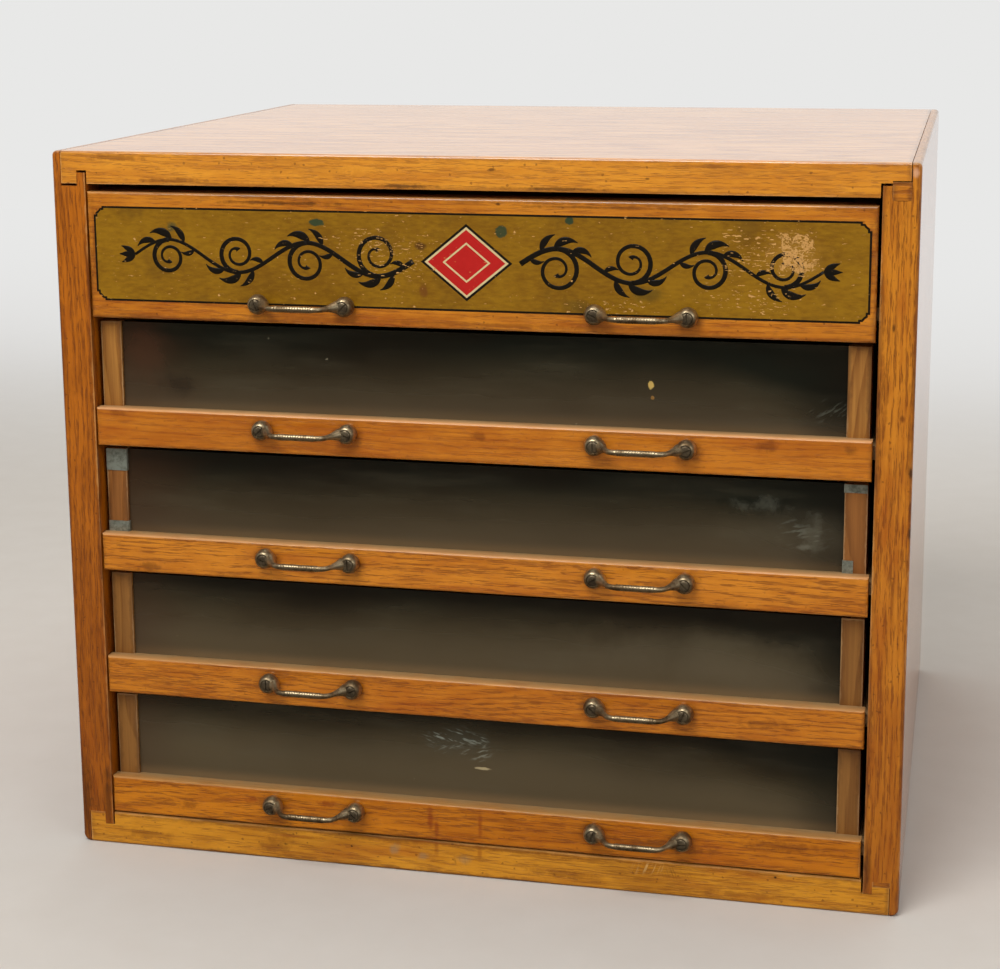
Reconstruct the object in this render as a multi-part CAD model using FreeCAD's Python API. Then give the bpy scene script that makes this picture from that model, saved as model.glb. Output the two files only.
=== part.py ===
import FreeCAD, Part
import math
import os

# A counter-top spool cabinet in oak: a square case, open at the front, with five full-width
# drawers that hang on side runners. The top drawer has a solid wooden front. The other four
# have a pane of glass standing on a narrow wooden rail. Each drawer has two small bar pulls,
# held by slotted screws. Millimetres. +Z is up, the drawers open towards -Y, and the origin
# is the centre of the case's underside.

# Case
case_width = 546.1
case_depth = 469.9
case_height = 469.9
board = 22.2                # thickness of the bottom and side boards
top_board = 20.8            # the top has been planed a little thinner
head_round = 3.0            # rounding of the case's upper corners, seen from the front
foot_round = 5.0            # the lower corners are worn rounder
edge_round = 2.0            # eased front edge of the case

# Locked corner joint, seen on the front edge: the side's thin outer lip covers the end of the
# top or bottom board, and its inner tongue stands in a groove of that board. Between lip and
# tongue is a shoulder. At the foot the shoulder seats on the bottom board. At the head the
# wood has shrunk, so a slot shows over the shoulder and over the tongue.
joint_lip = 5.6
joint_lip_gap = 0.4         # between the lip and the end of the board
joint_tongue = 5.6
joint_play = 1.2            # the groove is this much wider than the tongue, on its inner side
joint_groove = 8.5
joint_slot = 1.5            # over the shoulder and the tongue at the head
joint_foot_gap = 0.3        # under the tongue at the foot

# Repairs let into the right-hand joints
filler_height = 10.9        # block that stands on the shoulder under the end of the top board
filler_gap = 0.6            # over the block
filler_slip = 3.5           # slip above the end of the bottom board
filler_depth = 24.0         # how far back both reach

# Back: three upright boards that lap each other, let into a rabbet round the case
back_thickness = 8.0
back_rabbet = 10.0
back_gap = 0.3
back_lap = 8.0
back_board_count = 3

# Drawers
drawer_count = 5
top_gap = 5.0               # open slot above the top drawer
floor_gap = 0.8             # under the lowest drawer
between_gap = 3.2           # from the top of one drawer to the next drawer's rail
left_gap = 0.6              # the drawers sit hard over to the left
right_gap = 1.9
face_recess = 0.5           # drawer faces stand back from the case's front edge
rear_gap = 7.0              # behind a closed drawer
front_thickness = 22.0
front_lap = 8.5             # part of a front that covers the ends of the drawer sides
front_round = 1.8
rail_height = 25.2
side_thickness = 13.8
side_inset = 2.2            # the fronts overhang the drawer sides by this much
side_drop = 0.5             # the sides are this much lower than the wooden front
glass_thickness = 2.5
glass_setback = 2.0         # from the front end of a side to the glass groove
glass_slack = 0.25          # play of the glass in its groove, on each face
glass_seat = 6.0            # depth of the groove in the rail
glass_bite = 5.0            # how far the glass enters the sides
glass_end_slack = 0.5
glass_drop = 0.2            # the glass stops below the top of the sides
bottom_thickness = 5.0
bottom_level = 4.0          # underside of the bottom panel above the drawer's lower edge
bottom_bite = 5.0
rear_thickness = 12.0       # the drawer's own back
rear_inset = 8.0
rear_bite = 5.0
rear_drop = 6.0

# Runners: strips let into the case sides, which carry the drawers by a groove in their sides
runner_height = 8.0
runner_level = 12.0         # above the drawer's lower edge
runner_dado = 4.0
runner_reach = 7.5          # how far a runner stands out from the case side
runner_groove = 6.0         # depth of the groove in the drawer side
running_gap = 0.3           # between the runner and what slides on it
groove_slack = 0.9          # play under the runner
stop_gap = 0.4              # from the runner's front end to the back of the drawer front

# Pulls
pull_pitch = 57.15          # between the two screws
pull_spacing = 216.0        # between the middles of a drawer's two pulls
pull_shift = 1.6            # the pair sits a little right of the drawer's middle
pull_rise = 12.6            # from the lower edge of the wooden front up to its screws
pull_drop = 9.4             # from the upper edge of a rail down to its screws
boss_sides = 16
boss_foot_radius = 5.3
boss_radius = 6.4
boss_shoulder_radius = 6.0
boss_crown_radius = 4.3
boss_belly = 3.0            # heights of the boss's widest part, its shoulder and its crown
boss_shoulder = 6.0
boss_height = 8.6
bar_sides = 12
bar_standoff = 19.5         # middle of the bar above the drawer's face
bar_end_radius = 1.8
bar_middle_radius = 2.4
arm_root_radius = 4.0
arm_root_offset = 3.4       # from the screw to the foot of the arm, inside the boss
arm_root_height = 3.6
arm_bend_radius = 7.0
arm_slope = math.radians(60)
arm_bend_steps = 3

# Pull screws
screw_sides = 8
screw_radius = 1.6
screw_head_radius = 3.5
screw_head_cone = 2.0
screw_head_crown = 0.6
screw_crown_radius = 2.7
screw_in_wood = 13.0
screw_slot_width = 0.8
screw_slot_depth = 1.1
screw_slack = 0.05          # between the screw and its hole
screw_turn = 67.0           # degrees, each slot stands at another angle

# Sheet-metal clips that hold the glass of one drawer, at the head and foot of its posts
clip_drawer = 3
clip_sheet = 0.5
clip_head_left = 14.6
clip_foot_left = 7.0
clip_head_right = 5.2
clip_foot_right = 8.0
clip_foot_right_width = 6.0
clip_return = 2.0           # leg that turns in towards the glass

overrun = 2.0               # how far cutting tools reach past the piece
touch = 0.01                # nearer than this counts as touching
outline_share = 0.5         # an edge nearer the outline than this share of its rounding is on it

# Places worked out from the sizes above
half_width = case_width / 2
front = -case_depth / 2
back = case_depth / 2
inner = half_width - board                       # inner face of a side board
face = front + face_recess
clear_height = case_height - board - top_board
drawer_pitch = (clear_height - floor_gap - top_gap + between_gap) / drawer_count
front_height = drawer_pitch - between_gap
side_height = front_height - side_drop
drawer_left = -inner + left_gap
drawer_right = inner - right_gap
drawer_middle = (drawer_left + drawer_right) / 2
side_left = drawer_left + side_inset             # outer faces of a drawer's two sides
side_right = drawer_right - side_inset
inside_left = side_left + side_thickness
inside_right = side_right - side_thickness
drawer_end = back - back_thickness - rear_gap
post_front = face + front_lap
glass_front = post_front + glass_setback
bottom_top = bottom_level + bottom_thickness


def block(x_low, x_high, y_low, y_high, z_low, z_high):
    """A rectangular solid between two corners."""
    corner = FreeCAD.Vector(x_low, y_low, z_low)
    return Part.makeBox(x_high - x_low, y_high - y_low, z_high - z_low, corner)


def mirrored(solid, middle=0.0):
    """The solid's mirror image across an upright plane facing left and right."""
    return solid.mirror(FreeCAD.Vector(middle, 0, 0), FreeCAD.Vector(1, 0, 0))


def ease(solid, radius, is_chosen):
    """Rounds the edges whose middle point is chosen."""
    chosen = []
    for edge in solid.Edges:
        point = edge.valueAt((edge.FirstParameter + edge.LastParameter) / 2)
        if is_chosen(edge, point):
            chosen.append(edge)
    return solid.makeFillet(radius, chosen)


def lies_in_plane(edge, y):
    """True if the whole edge lies in the upright plane at that depth."""
    box = edge.BoundBox
    return abs(box.YMin - y) < touch and abs(box.YMax - y) < touch


def save(name, *solids):
    """Writes one named piece, or a group of like pieces, to its own file."""
    shape = solids[0] if len(solids) == 1 else Part.makeCompound(list(solids))
    shape.exportStep(os.path.join("parts", name + ".step"))


# The case

def side_profile():
    """The left side board seen from the front, with its lip and tongue at both ends."""
    outer = -half_width
    lip = outer + joint_lip
    tongue = -inner - joint_tongue
    head = case_height - top_board - joint_slot
    head_tongue = head + joint_groove
    foot_tongue = board - joint_groove + joint_foot_gap
    corners = [
        (outer + head_round, case_height),
        (lip, case_height),
        (lip, head),
        (tongue, head),
        (tongue, head_tongue),
        (-inner, head_tongue),
        (-inner, foot_tongue),
        (tongue, foot_tongue),
        (tongue, board),
        (lip, board),
        (lip, 0),
        (outer + foot_round, 0),
    ]
    points = [FreeCAD.Vector(x, front, z) for x, z in corners]
    edges = [Part.LineSegment(a, b).toShape() for a, b in zip(points, points[1:])]
    low = FreeCAD.Vector(outer, front, foot_round)
    high = FreeCAD.Vector(outer, front, case_height - head_round)
    foot_inset = foot_round * (1 - math.cos(math.pi / 4))
    head_inset = head_round * (1 - math.cos(math.pi / 4))
    low_middle = FreeCAD.Vector(outer + foot_inset, front, foot_inset)
    high_middle = FreeCAD.Vector(outer + head_inset, front, case_height - head_inset)
    edges.append(Part.Arc(points[-1], low_middle, low).toShape())
    edges.append(Part.LineSegment(low, high).toShape())
    edges.append(Part.Arc(high, high_middle, points[0]).toShape())
    return Part.Face(Part.Wire(edges))


def is_outside_front(edge, point):
    """True for the front edges that run along the case's outline."""
    to_side = half_width - abs(point.x)
    to_end = min(point.z, case_height - point.z)
    return lies_in_plane(edge, front) and min(to_side, to_end) < head_round * outline_share


def back_recess():
    """The space of the back boards and their rabbet."""
    reach = inner + back_rabbet
    low = board - back_rabbet
    high = case_height - top_board + back_rabbet
    return block(-reach, reach, back - back_thickness, back + overrun, low, high)


def runner_block(number, x_low, x_high, y_low, grow_low=0.0, grow_high=0.0):
    """The space of one runner, grown downwards and upwards for a groove."""
    low = drawer_base(number) + runner_level
    rear = back - back_thickness
    return block(x_low, x_high, y_low, rear, low - grow_low, low + runner_height + grow_high)


def side_board():
    """The left side of the case, with its runner dados and back rabbet."""
    solid = side_profile().extrude(FreeCAD.Vector(0, case_depth, 0))
    solid = ease(solid, edge_round, is_outside_front)
    dados = [
        runner_block(number, -inner - runner_dado, -inner + overrun, post_front + stop_gap)
        for number in range(1, drawer_count + 1)
    ]
    return solid.cut([back_recess()] + dados)


def tongue_grooves(opening):
    """Grooves for the tongues of the sides, at both ends of a level board."""
    left = block(
        -inner - joint_tongue, -inner + joint_play, front - overrun, back + overrun,
        opening - overrun, opening + joint_groove,
    )
    return [left, mirrored(left)]


def level_board(thickness):
    """A board at the head of the case, without the repair at its right-hand end."""
    reach = half_width - joint_lip - joint_lip_gap
    underside = case_height - thickness
    solid = block(-reach, reach, front, back, underside, case_height)
    solid = ease(solid, edge_round, is_outside_level_front)
    return solid.cut(tongue_grooves(underside))


def is_outside_level_front(edge, point):
    """True for the one front edge of a level board that is on the case's outline."""
    to_end = min(point.z, case_height - point.z)
    return lies_in_plane(edge, front) and to_end < touch


def filler(low, high):
    """A repair between the lip and the tongue of the right side, at the front."""
    x_low = inner + joint_tongue
    return block(x_low, half_width - joint_lip, front, front + filler_depth, low, high)


def upside_down(solid):
    """The solid mirrored across the case's middle height."""
    return solid.mirror(FreeCAD.Vector(0, 0, case_height / 2), FreeCAD.Vector(0, 0, 1))


def back_board(number):
    """One upright back board. Its edges lap its neighbours by half its thickness."""
    reach = inner + back_rabbet - back_gap
    width = 2 * reach / back_board_count
    low = board - back_rabbet + back_gap
    high = case_height - top_board + back_rabbet - back_gap
    y_low = back - back_thickness
    y_half = back - back_thickness / 2
    left = -reach + number * width
    right = left + width
    lap_left = back_lap / 2 if number > 0 else 0.0
    lap_right = back_lap / 2 if number < back_board_count - 1 else 0.0
    inside = block(left - lap_left, right - lap_right, y_low, y_half, low, high)
    outside = block(left + lap_left, right + lap_right, y_half, back, low, high)
    return inside.fuse(outside).removeSplitter()


def make_case():
    left = side_board()
    save("case_side_left", left)
    save("case_side_right", mirrored(left))
    shoulder = case_height - top_board - joint_slot
    head_filler = filler(shoulder, shoulder + filler_height)
    head_notch = filler(shoulder, shoulder + filler_height + filler_gap)
    foot_filler = filler(board - filler_slip, board)
    recess = back_recess()
    save("case_top", level_board(top_board).cut([recess, head_notch]))
    save("case_bottom", upside_down(level_board(board)).cut([recess, foot_filler]))
    save("joint_fillers", head_filler, foot_filler)
    for number, place in enumerate(["left", "middle", "right"]):
        save("back_board_" + place, back_board(number))
    for number in range(1, drawer_count + 1):
        runner = runner_block(
            number, -inner - runner_dado, -inner + runner_reach, post_front + stop_gap
        )
        save(f"runners_{number}", runner, mirrored(runner))


# The drawers

def drawer_base(number):
    """Height of a drawer's lower edge. Drawer 1 is the top one."""
    return board + floor_gap + (drawer_count - number) * drawer_pitch


def glass_groove(x_low, x_high, low, high):
    """The groove that the glass stands in, cut into a rail or a side."""
    width = glass_thickness + 2 * glass_slack
    return block(x_low, x_high, glass_front, glass_front + width, low, high)


def drawer_side(number):
    """A drawer's left side, grooved for its runner, bottom, back and glass."""
    base = drawer_base(number)
    top = base + side_height
    solid = block(side_left, inside_left, post_front, drawer_end, base, top)
    runner_cut = runner_block(
        number, side_left - overrun, side_left + runner_groove,
        post_front - overrun, groove_slack, running_gap,
    )
    bottom_cut = block(
        inside_left - bottom_bite, inside_left + overrun, post_front - overrun,
        drawer_end + overrun, base + bottom_level, base + bottom_top,
    )
    rear_high = drawer_end - rear_inset
    rear_cut = block(
        inside_left - rear_bite, inside_left + overrun, rear_high - rear_thickness,
        rear_high, base + bottom_top, top + overrun,
    )
    cuts = [runner_cut, bottom_cut, rear_cut]
    if number > 1:
        cuts.append(glass_groove(
            inside_left - glass_bite - glass_end_slack, inside_left + overrun,
            base + rail_height - glass_seat, top + overrun,
        ))
    return solid.cut(cuts)


def drawer_front(number):
    """The wooden front of the top drawer, or the rail under the glass of another."""
    base = drawer_base(number)
    height = front_height if number == 1 else rail_height
    rear = face + front_thickness
    solid = block(drawer_left, drawer_right, face, rear, base, base + height)
    solid = ease(solid, front_round, lambda edge, point: lies_in_plane(edge, face))
    end_cut = block(
        drawer_left - overrun, inside_left, post_front, rear + overrun,
        base - overrun, base + height + overrun,
    )
    bottom_cut = block(
        inside_left, inside_right, rear - bottom_bite, rear + overrun,
        base + bottom_level, base + bottom_top,
    )
    cuts = [end_cut, mirrored(end_cut, drawer_middle), bottom_cut]
    if number > 1:
        top = base + rail_height
        cuts.append(glass_groove(inside_left, inside_right, top - glass_seat, top + overrun))
    cuts += [screw_hole().translated(place) for place in screw_places(number)]
    return solid.cut(cuts)


def drawer_bottom(number):
    """The thin bottom panel, which runs back under the drawer's own back."""
    base = drawer_base(number)
    return block(
        inside_left - bottom_bite, inside_right + bottom_bite,
        face + front_thickness - bottom_bite, drawer_end,
        base + bottom_level, base + bottom_top,
    )


def drawer_back(number):
    base = drawer_base(number)
    rear = drawer_end - rear_inset
    return block(
        inside_left - rear_bite, inside_right + rear_bite, rear - rear_thickness, rear,
        base + bottom_top, base + side_height - rear_drop,
    )


def drawer_glass(number):
    base = drawer_base(number)
    y_low = glass_front + glass_slack
    return block(
        inside_left - glass_bite, inside_right + glass_bite, y_low, y_low + glass_thickness,
        base + rail_height - glass_seat, base + side_height - glass_drop,
    )


def post_clip(width, low, high):
    """An angle of sheet metal on the left post: one leg on its face, one turned in."""
    face_leg = block(
        inside_left - width, inside_left, post_front - clip_sheet, post_front, low, high
    )
    inner_leg = block(
        inside_left, inside_left + clip_sheet, post_front - clip_sheet,
        post_front + clip_return, low, high,
    )
    return face_leg.fuse(inner_leg).removeSplitter()


def glass_clips(number):
    foot = drawer_base(number) + rail_height
    head = drawer_base(number) + side_height
    left = [
        post_clip(side_thickness, head - clip_head_left, head),
        post_clip(side_thickness, foot, foot + clip_foot_left),
    ]
    right = [
        post_clip(side_thickness, head - clip_head_right, head),
        post_clip(clip_foot_right_width, foot, foot + clip_foot_right),
    ]
    return left + [mirrored(clip, drawer_middle) for clip in right]


# The pulls, made about the middle of their two screws, with their back in the plane y = 0

def ring(centre, along, radius, sides):
    """Points evenly spaced round a line that lies in a level plane."""
    up = FreeCAD.Vector(0, 0, 1)
    across = along.cross(up)
    turns = [2 * math.pi * (index + 1 / 2) / sides for index in range(sides)]
    return [centre + across * radius * math.cos(a) + up * radius * math.sin(a) for a in turns]


def flat_face(points):
    return Part.Face(Part.makePolygon(points + points[:1]))


def skinned(rings):
    """A solid with flat faces between neighbouring rings and over both ends."""
    faces = [flat_face(rings[0]), flat_face(rings[-1])]
    for low, high in zip(rings, rings[1:]):
        for index in range(len(low)):
            before = index - 1
            faces.append(flat_face([low[before], low[index], high[index], high[before]]))
    return Part.Solid(Part.Shell(faces))


def turned(outline, sides):
    """A solid round the y axis from pairs of a height above the wood and a radius."""
    outward = FreeCAD.Vector(0, -1, 0)
    return skinned([ring(outward * height, outward, radius, sides) for height, radius in outline])


def screw_hole():
    """The space of a screw, from its tip to its seat and clear of the boss."""
    outline = [
        (-screw_in_wood - screw_slack, screw_radius + screw_slack),
        (boss_height - screw_head_cone, screw_radius + screw_slack),
        (boss_height, screw_head_radius + screw_slack),
        (boss_height + overrun, screw_head_radius + screw_slack),
    ]
    return turned(outline, screw_sides)


def screw(turn):
    """A slotted, countersunk wood screw with a slightly raised head."""
    crown_height = boss_height + screw_head_crown
    outline = [
        (-screw_in_wood, screw_radius),
        (boss_height - screw_head_cone, screw_radius),
        (boss_height, screw_head_radius),
        (crown_height, screw_crown_radius),
    ]
    half_slot = screw_slot_width / 2
    reach = screw_head_radius + overrun
    slot = block(
        -reach, reach, -crown_height - overrun, -crown_height + screw_slot_depth,
        -half_slot, half_slot,
    )
    slot.rotate(FreeCAD.Vector(0, 0, 0), FreeCAD.Vector(0, 1, 0), turn)
    return turned(outline, screw_sides).cut(slot)


def boss():
    """A rounded boss, before its screw hole is made."""
    outline = [
        (0, boss_foot_radius),
        (boss_belly, boss_radius),
        (boss_shoulder, boss_shoulder_radius),
        (boss_height, boss_crown_radius),
    ]
    return turned(outline, boss_sides)


def arm_stations():
    """Place, slope and radius of the rings that the left half of the bar runs through."""
    root_x = -pull_pitch / 2 + arm_root_offset
    bend_start = bar_standoff - arm_bend_radius * (1 - math.cos(arm_slope))
    bend_start_x = root_x + (bend_start - arm_root_height) / math.tan(arm_slope)
    bend_end_x = bend_start_x + arm_bend_radius * math.sin(arm_slope)
    stations = [(root_x, arm_root_height, arm_slope, arm_root_radius)]
    for step in range(arm_bend_steps + 1):
        slope = arm_slope * (1 - step / arm_bend_steps)
        x = bend_end_x - arm_bend_radius * math.sin(slope)
        height = bar_standoff - arm_bend_radius * (1 - math.cos(slope))
        stations.append((x, height, slope, bar_end_radius))
    return stations


def bar():
    """The bar and its two arms, as one run of rings from boss to boss."""
    left = arm_stations()
    middle = [(0.0, bar_standoff, 0.0, bar_middle_radius)]
    right = [(-x, height, -slope, radius) for x, height, slope, radius in reversed(left)]
    rings = []
    for x, height, slope, radius in left + middle + right:
        along = FreeCAD.Vector(math.cos(slope), -math.sin(slope), 0)
        rings.append(ring(FreeCAD.Vector(x, -height, 0), along, radius, bar_sides))
    return skinned(rings)


def at_both_screws(solid):
    """Copies of a solid at the two screws of a pull."""
    half = FreeCAD.Vector(pull_pitch / 2, 0, 0)
    return [solid.translated(-half), solid.translated(half)]


def pull():
    """A pull with the holes for its screws."""
    whole = bar().fuse(at_both_screws(boss()))
    return whole.cut(at_both_screws(screw_hole())).removeSplitter()


def pull_places(number):
    """Where the middles of a drawer's two pulls meet its face, left and right."""
    rise = pull_rise if number == 1 else rail_height - pull_drop
    middle = drawer_middle + pull_shift
    height = drawer_base(number) + rise
    return [
        FreeCAD.Vector(middle - pull_spacing / 2, face, height),
        FreeCAD.Vector(middle + pull_spacing / 2, face, height),
    ]


def screw_places(number):
    """Where the axes of a drawer's four screws meet its face, from left to right."""
    half = FreeCAD.Vector(pull_pitch / 2, 0, 0)
    left, right = pull_places(number)
    return [left - half, left + half, right - half, right + half]


def make_drawer(number, plain_pull):
    name = f"drawer_{number}_"
    side = drawer_side(number)
    save(name + ("front" if number == 1 else "rail"), drawer_front(number))
    save(name + "side_left", side)
    save(name + "side_right", mirrored(side, (side_left + side_right) / 2))
    save(name + "back", drawer_back(number))
    save(name + "bottom", drawer_bottom(number))
    if number > 1:
        save(name + "glass", drawer_glass(number))
    if number == clip_drawer:
        save(name + "glass_clips", *glass_clips(number))
    for hand, place in zip(["left", "right"], pull_places(number)):
        save(name + "pull_" + hand, plain_pull.translated(place))
    screws = [
        screw(screw_turn * (index + number)).translated(place)
        for index, place in enumerate(screw_places(number))
    ]
    save(name + "pull_screws", *screws)


os.makedirs("parts", exist_ok=True)
make_case()
plain_pull = pull()
for drawer in range(1, drawer_count + 1):
    make_drawer(drawer, plain_pull)
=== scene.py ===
# %% [markdown]
# # A spool cabinet in oak
#
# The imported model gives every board, pane and pull its place in metres: +Z is up, the drawers
# open towards -Y, and the origin is the middle of the case's underside. The cells below dress
# that model. They set up the camera and a small studio, build the finishes as node groups,
# model the cast pulls, the screws and the sign panel, and hang every new piece on the body it
# moves with.

import math

import bpy
from mathutils import Matrix, Vector


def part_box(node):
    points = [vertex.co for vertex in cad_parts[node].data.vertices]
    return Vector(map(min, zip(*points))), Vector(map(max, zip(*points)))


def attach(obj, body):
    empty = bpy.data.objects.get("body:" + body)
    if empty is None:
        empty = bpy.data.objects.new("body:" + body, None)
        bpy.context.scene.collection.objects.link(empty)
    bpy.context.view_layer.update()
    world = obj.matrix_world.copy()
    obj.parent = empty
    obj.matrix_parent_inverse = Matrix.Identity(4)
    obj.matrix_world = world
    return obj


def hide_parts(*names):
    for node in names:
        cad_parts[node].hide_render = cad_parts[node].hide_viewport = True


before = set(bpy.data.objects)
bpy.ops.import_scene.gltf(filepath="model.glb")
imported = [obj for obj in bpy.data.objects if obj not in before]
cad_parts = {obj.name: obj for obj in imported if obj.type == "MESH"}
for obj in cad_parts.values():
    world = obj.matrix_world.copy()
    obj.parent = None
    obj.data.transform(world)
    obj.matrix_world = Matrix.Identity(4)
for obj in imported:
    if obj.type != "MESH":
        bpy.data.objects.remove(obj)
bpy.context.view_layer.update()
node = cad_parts

# %% [markdown]
# ## Camera
#
# The photograph was taken from a little above the cabinet and a step to its right, with a long
# lens. Its upright edges hardly run together, which a camera that looks down can only do with
# its lens shifted. The shift moves the cabinet off centre in every other view too, so only a
# small part of it is used here.

# %% Camera at the photograph's viewing angle
mm = 0.001
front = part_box("case_top")[0].y
case_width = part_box("case_side_right")[1].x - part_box("case_side_left")[0].x

camera_data = bpy.data.cameras.new("camera")
camera_data.sensor_width = 36.0
camera_data.lens = 73.4
camera_data.shift_y = -0.12
camera_data.clip_start = 0.1
camera_data.clip_end = 30.0
camera = bpy.data.objects.new("camera", camera_data)
bpy.context.scene.collection.objects.link(camera)
bpy.context.scene.camera = camera

turn, tilt, roll = math.radians(-13.12), math.radians(10.89), math.radians(0.38)
camera.matrix_world = (
    Matrix.Translation(Vector((0.553, -2.21, 1.062)) * case_width + Vector((0, front, 0)))
    @ Matrix.Rotation(-turn, 4, "Z")
    @ Matrix.Rotation(math.pi / 2 - tilt, 4, "X")
    @ Matrix.Rotation(-roll, 4, "Z")
)
print("camera at", [round(v, 3) for v in camera.location])

# %% [markdown]
# ## Studio
#
# The floor and the wall behind are one sheet, bent in a wide curve, as in a photographer's
# studio. The sheet is pale, and the lamps are large, so the shadows are soft. A few helpers come
# first, because each modelling step below selects one object and goes into edit mode.

# %% Helpers for modelling
def only(thing):
    """Makes one object the active one and the only one selected."""
    if bpy.context.object and bpy.context.object.mode != "OBJECT":
        bpy.ops.object.mode_set(mode="OBJECT")
    bpy.ops.object.select_all(action="DESELECT")
    thing.select_set(True)
    bpy.context.view_layer.objects.active = thing
    return thing


def named(name):
    """The object that was just added, under its own name."""
    thing = bpy.context.object
    thing.name = thing.data.name = name
    return thing


def edit(thing):
    only(thing)
    bpy.ops.object.mode_set(mode="EDIT")


def done():
    bpy.ops.object.mode_set(mode="OBJECT")


print("modelling helpers ready")

# %% [markdown]
# In a window a modeller clicks on the edges or faces to work on. Here they are picked by a test
# on their place and direction. Those flags can be set only outside edit mode, so the helper
# leaves edit mode, sets them and goes back.

# %% Pick vertices, edges or faces
def pick(thing, kind, test):
    """Selects in edit mode the vertices, edges or faces whose place passes the test."""
    bpy.ops.mesh.select_all(action="DESELECT")
    done()
    mesh = thing.data
    count = 0
    parts = {"VERT": mesh.vertices, "EDGE": mesh.edges, "FACE": mesh.polygons}[kind]
    for part in parts:
        if kind == "VERT":
            part.select = test(part.co, part.normal)
        elif kind == "EDGE":
            ends = [mesh.vertices[i].co for i in part.vertices]
            part.select = test((ends[0] + ends[1]) / 2, ends[1] - ends[0])
        else:
            part.select = test(part.center, part.normal)
        count += part.select
    bpy.ops.object.mode_set(mode="EDIT")
    bpy.ops.mesh.select_mode(type=kind)
    return count


print("picking ready")

# %% [markdown]
# The sheet is a plane whose rear edge is extruded upwards. A wide bevel with many segments then
# bends the sharp corner into a curve, so no line shows behind the cabinet.

# %% Floor and backdrop
floor_size, floor_shift, wall_height, curve_reach = 8.0, -1.4, 4.0, 1.2
rear_edge = floor_shift + floor_size / 2 - 0.1
bpy.ops.object.select_all(action="DESELECT")
bpy.ops.mesh.primitive_plane_add(size=floor_size, location=(0, floor_shift, 0))
sweep = named("studio_sweep")
bpy.ops.object.transform_apply(location=True)
edit(sweep)
pick(sweep, "EDGE", lambda middle, along: middle.y > rear_edge)
bpy.ops.mesh.extrude_region_move(TRANSFORM_OT_translate={"value": (0, 0, wall_height)})
pick(sweep, "EDGE", lambda middle, along: middle.y > rear_edge and middle.z < 0.1)
bpy.ops.mesh.bevel(offset=curve_reach, segments=24, affect="EDGES")
done()
bpy.ops.object.shade_smooth()
print("sweep faces:", len(sweep.data.polygons))

# %% [markdown]
# ## Helpers for materials
#
# A finish is a small network of nodes. What a node puts out is kept as a Value here. A sum or a
# product of Values can then be written as one, and each sign adds the node that works it out, so
# that every material further down reads like a recipe.

# %% Values
class Value:
    """What a node puts out. A sum or a product with it is a node of its own."""

    def __init__(self, socket):
        self.socket = socket

    def __add__(self, other):
        return maths("ADD", self, other)

    def __sub__(self, other):
        return maths("SUBTRACT", self, other)

    def __rsub__(self, other):
        return maths("SUBTRACT", other, self)

    def __mul__(self, other):
        return maths("MULTIPLY", self, other)

    def __truediv__(self, other):
        return maths("DIVIDE", self, other)


print("values can be added, subtracted, multiplied and divided")

# %% [markdown]
# A node is added with its values and wires in one line. It goes to the tree that its values come
# from, so the tree has to be named only where a node takes nothing in.

# %% Node helpers
def add(kind, values=None, tree=None, **settings):
    """Adds a node. Its values are Values, or plain numbers and colours."""
    values = values or {}
    wired = [value for value in values.values() if isinstance(value, Value)]
    tree = tree or wired[0].socket.id_data
    made = tree.nodes.new("ShaderNode" + kind)
    for key, value in settings.items():
        setattr(made, key, value)
    for key, value in values.items():
        if isinstance(value, Value):
            join(value, made.inputs[key])
        else:
            made.inputs[key].default_value = value
    return made


def join(value, socket):
    """Wires a value to an input."""
    socket.id_data.links.new(value.socket, socket)


print("node helpers ready")

# %% [markdown]
# Most finishes need the same few moves. One value is compared with another, or kept between
# nought and one, a vector is taken apart, and a pattern is turned to run along its board.

# %% Numbers and vectors
def maths(operation, *values):
    """A number worked out from one, two or three others."""
    return Value(add("Math", dict(enumerate(values)), operation=operation).outputs[0])


def clamped(value):
    """The same value, kept between 0 and 1 by the node that works it out."""
    value.socket.node.use_clamp = True
    return value


def vector_maths(operation, *values):
    """The same for vectors. Only a length is a number."""
    made = add("VectorMath", dict(enumerate(values)), operation=operation)
    return Value(made.outputs["Value" if operation == "LENGTH" else "Vector"])


def parts(vector):
    """The X, Y and Z of a vector."""
    return [Value(socket) for socket in add("SeparateXYZ", {0: vector}).outputs]


def turned(vector, angles):
    """The space of a pattern, turned round X, Y and Z."""
    return Value(add("Mapping", {"Vector": vector, "Rotation": angles}).outputs[0])


print("numbers and vectors ready")

# %% [markdown]
# One colour is mixed over another, a value's range is turned into another range, and noise is
# stretched so that it runs along the wood.

# %% Mixing, ranges and noise
def blend(factor, a, b):
    """Mixes two colours."""
    made = add("Mix", {0: factor, 6: a, 7: b}, data_type="RGBA", clamp_factor=True)
    return Value(made.outputs[2])


def ramp(value, low, high, to_low=0, to_high=1):
    """Turns a value's range from low to high into another range, with soft ends."""
    values = {0: value, 1: low, 2: high, 3: to_low, 4: to_high}
    return Value(add("MapRange", values, interpolation_type="SMOOTHSTEP", clamp=True).outputs[0])


def noise(vector, scale, detail=3, rough=0.55):
    values = {"Vector": vector, "Scale": scale, "Detail": detail, "Roughness": rough}
    return Value(add("TexNoise", values).outputs["Fac"])


def streaks(vector, stretch, detail=3, rough=0.55):
    """Noise in a stretched space. The stretch sets how long and how fine its streaks are."""
    return noise(vector_maths("MULTIPLY", vector, stretch), 1, detail, rough)


print("mixing helpers ready")

# %% [markdown]
# An effect that several finishes share is a node group, with sockets for what differs: f is a
# number, v a vector and c a colour. The shader itself stays in each material, and a group only
# hands it colours and values.

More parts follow.
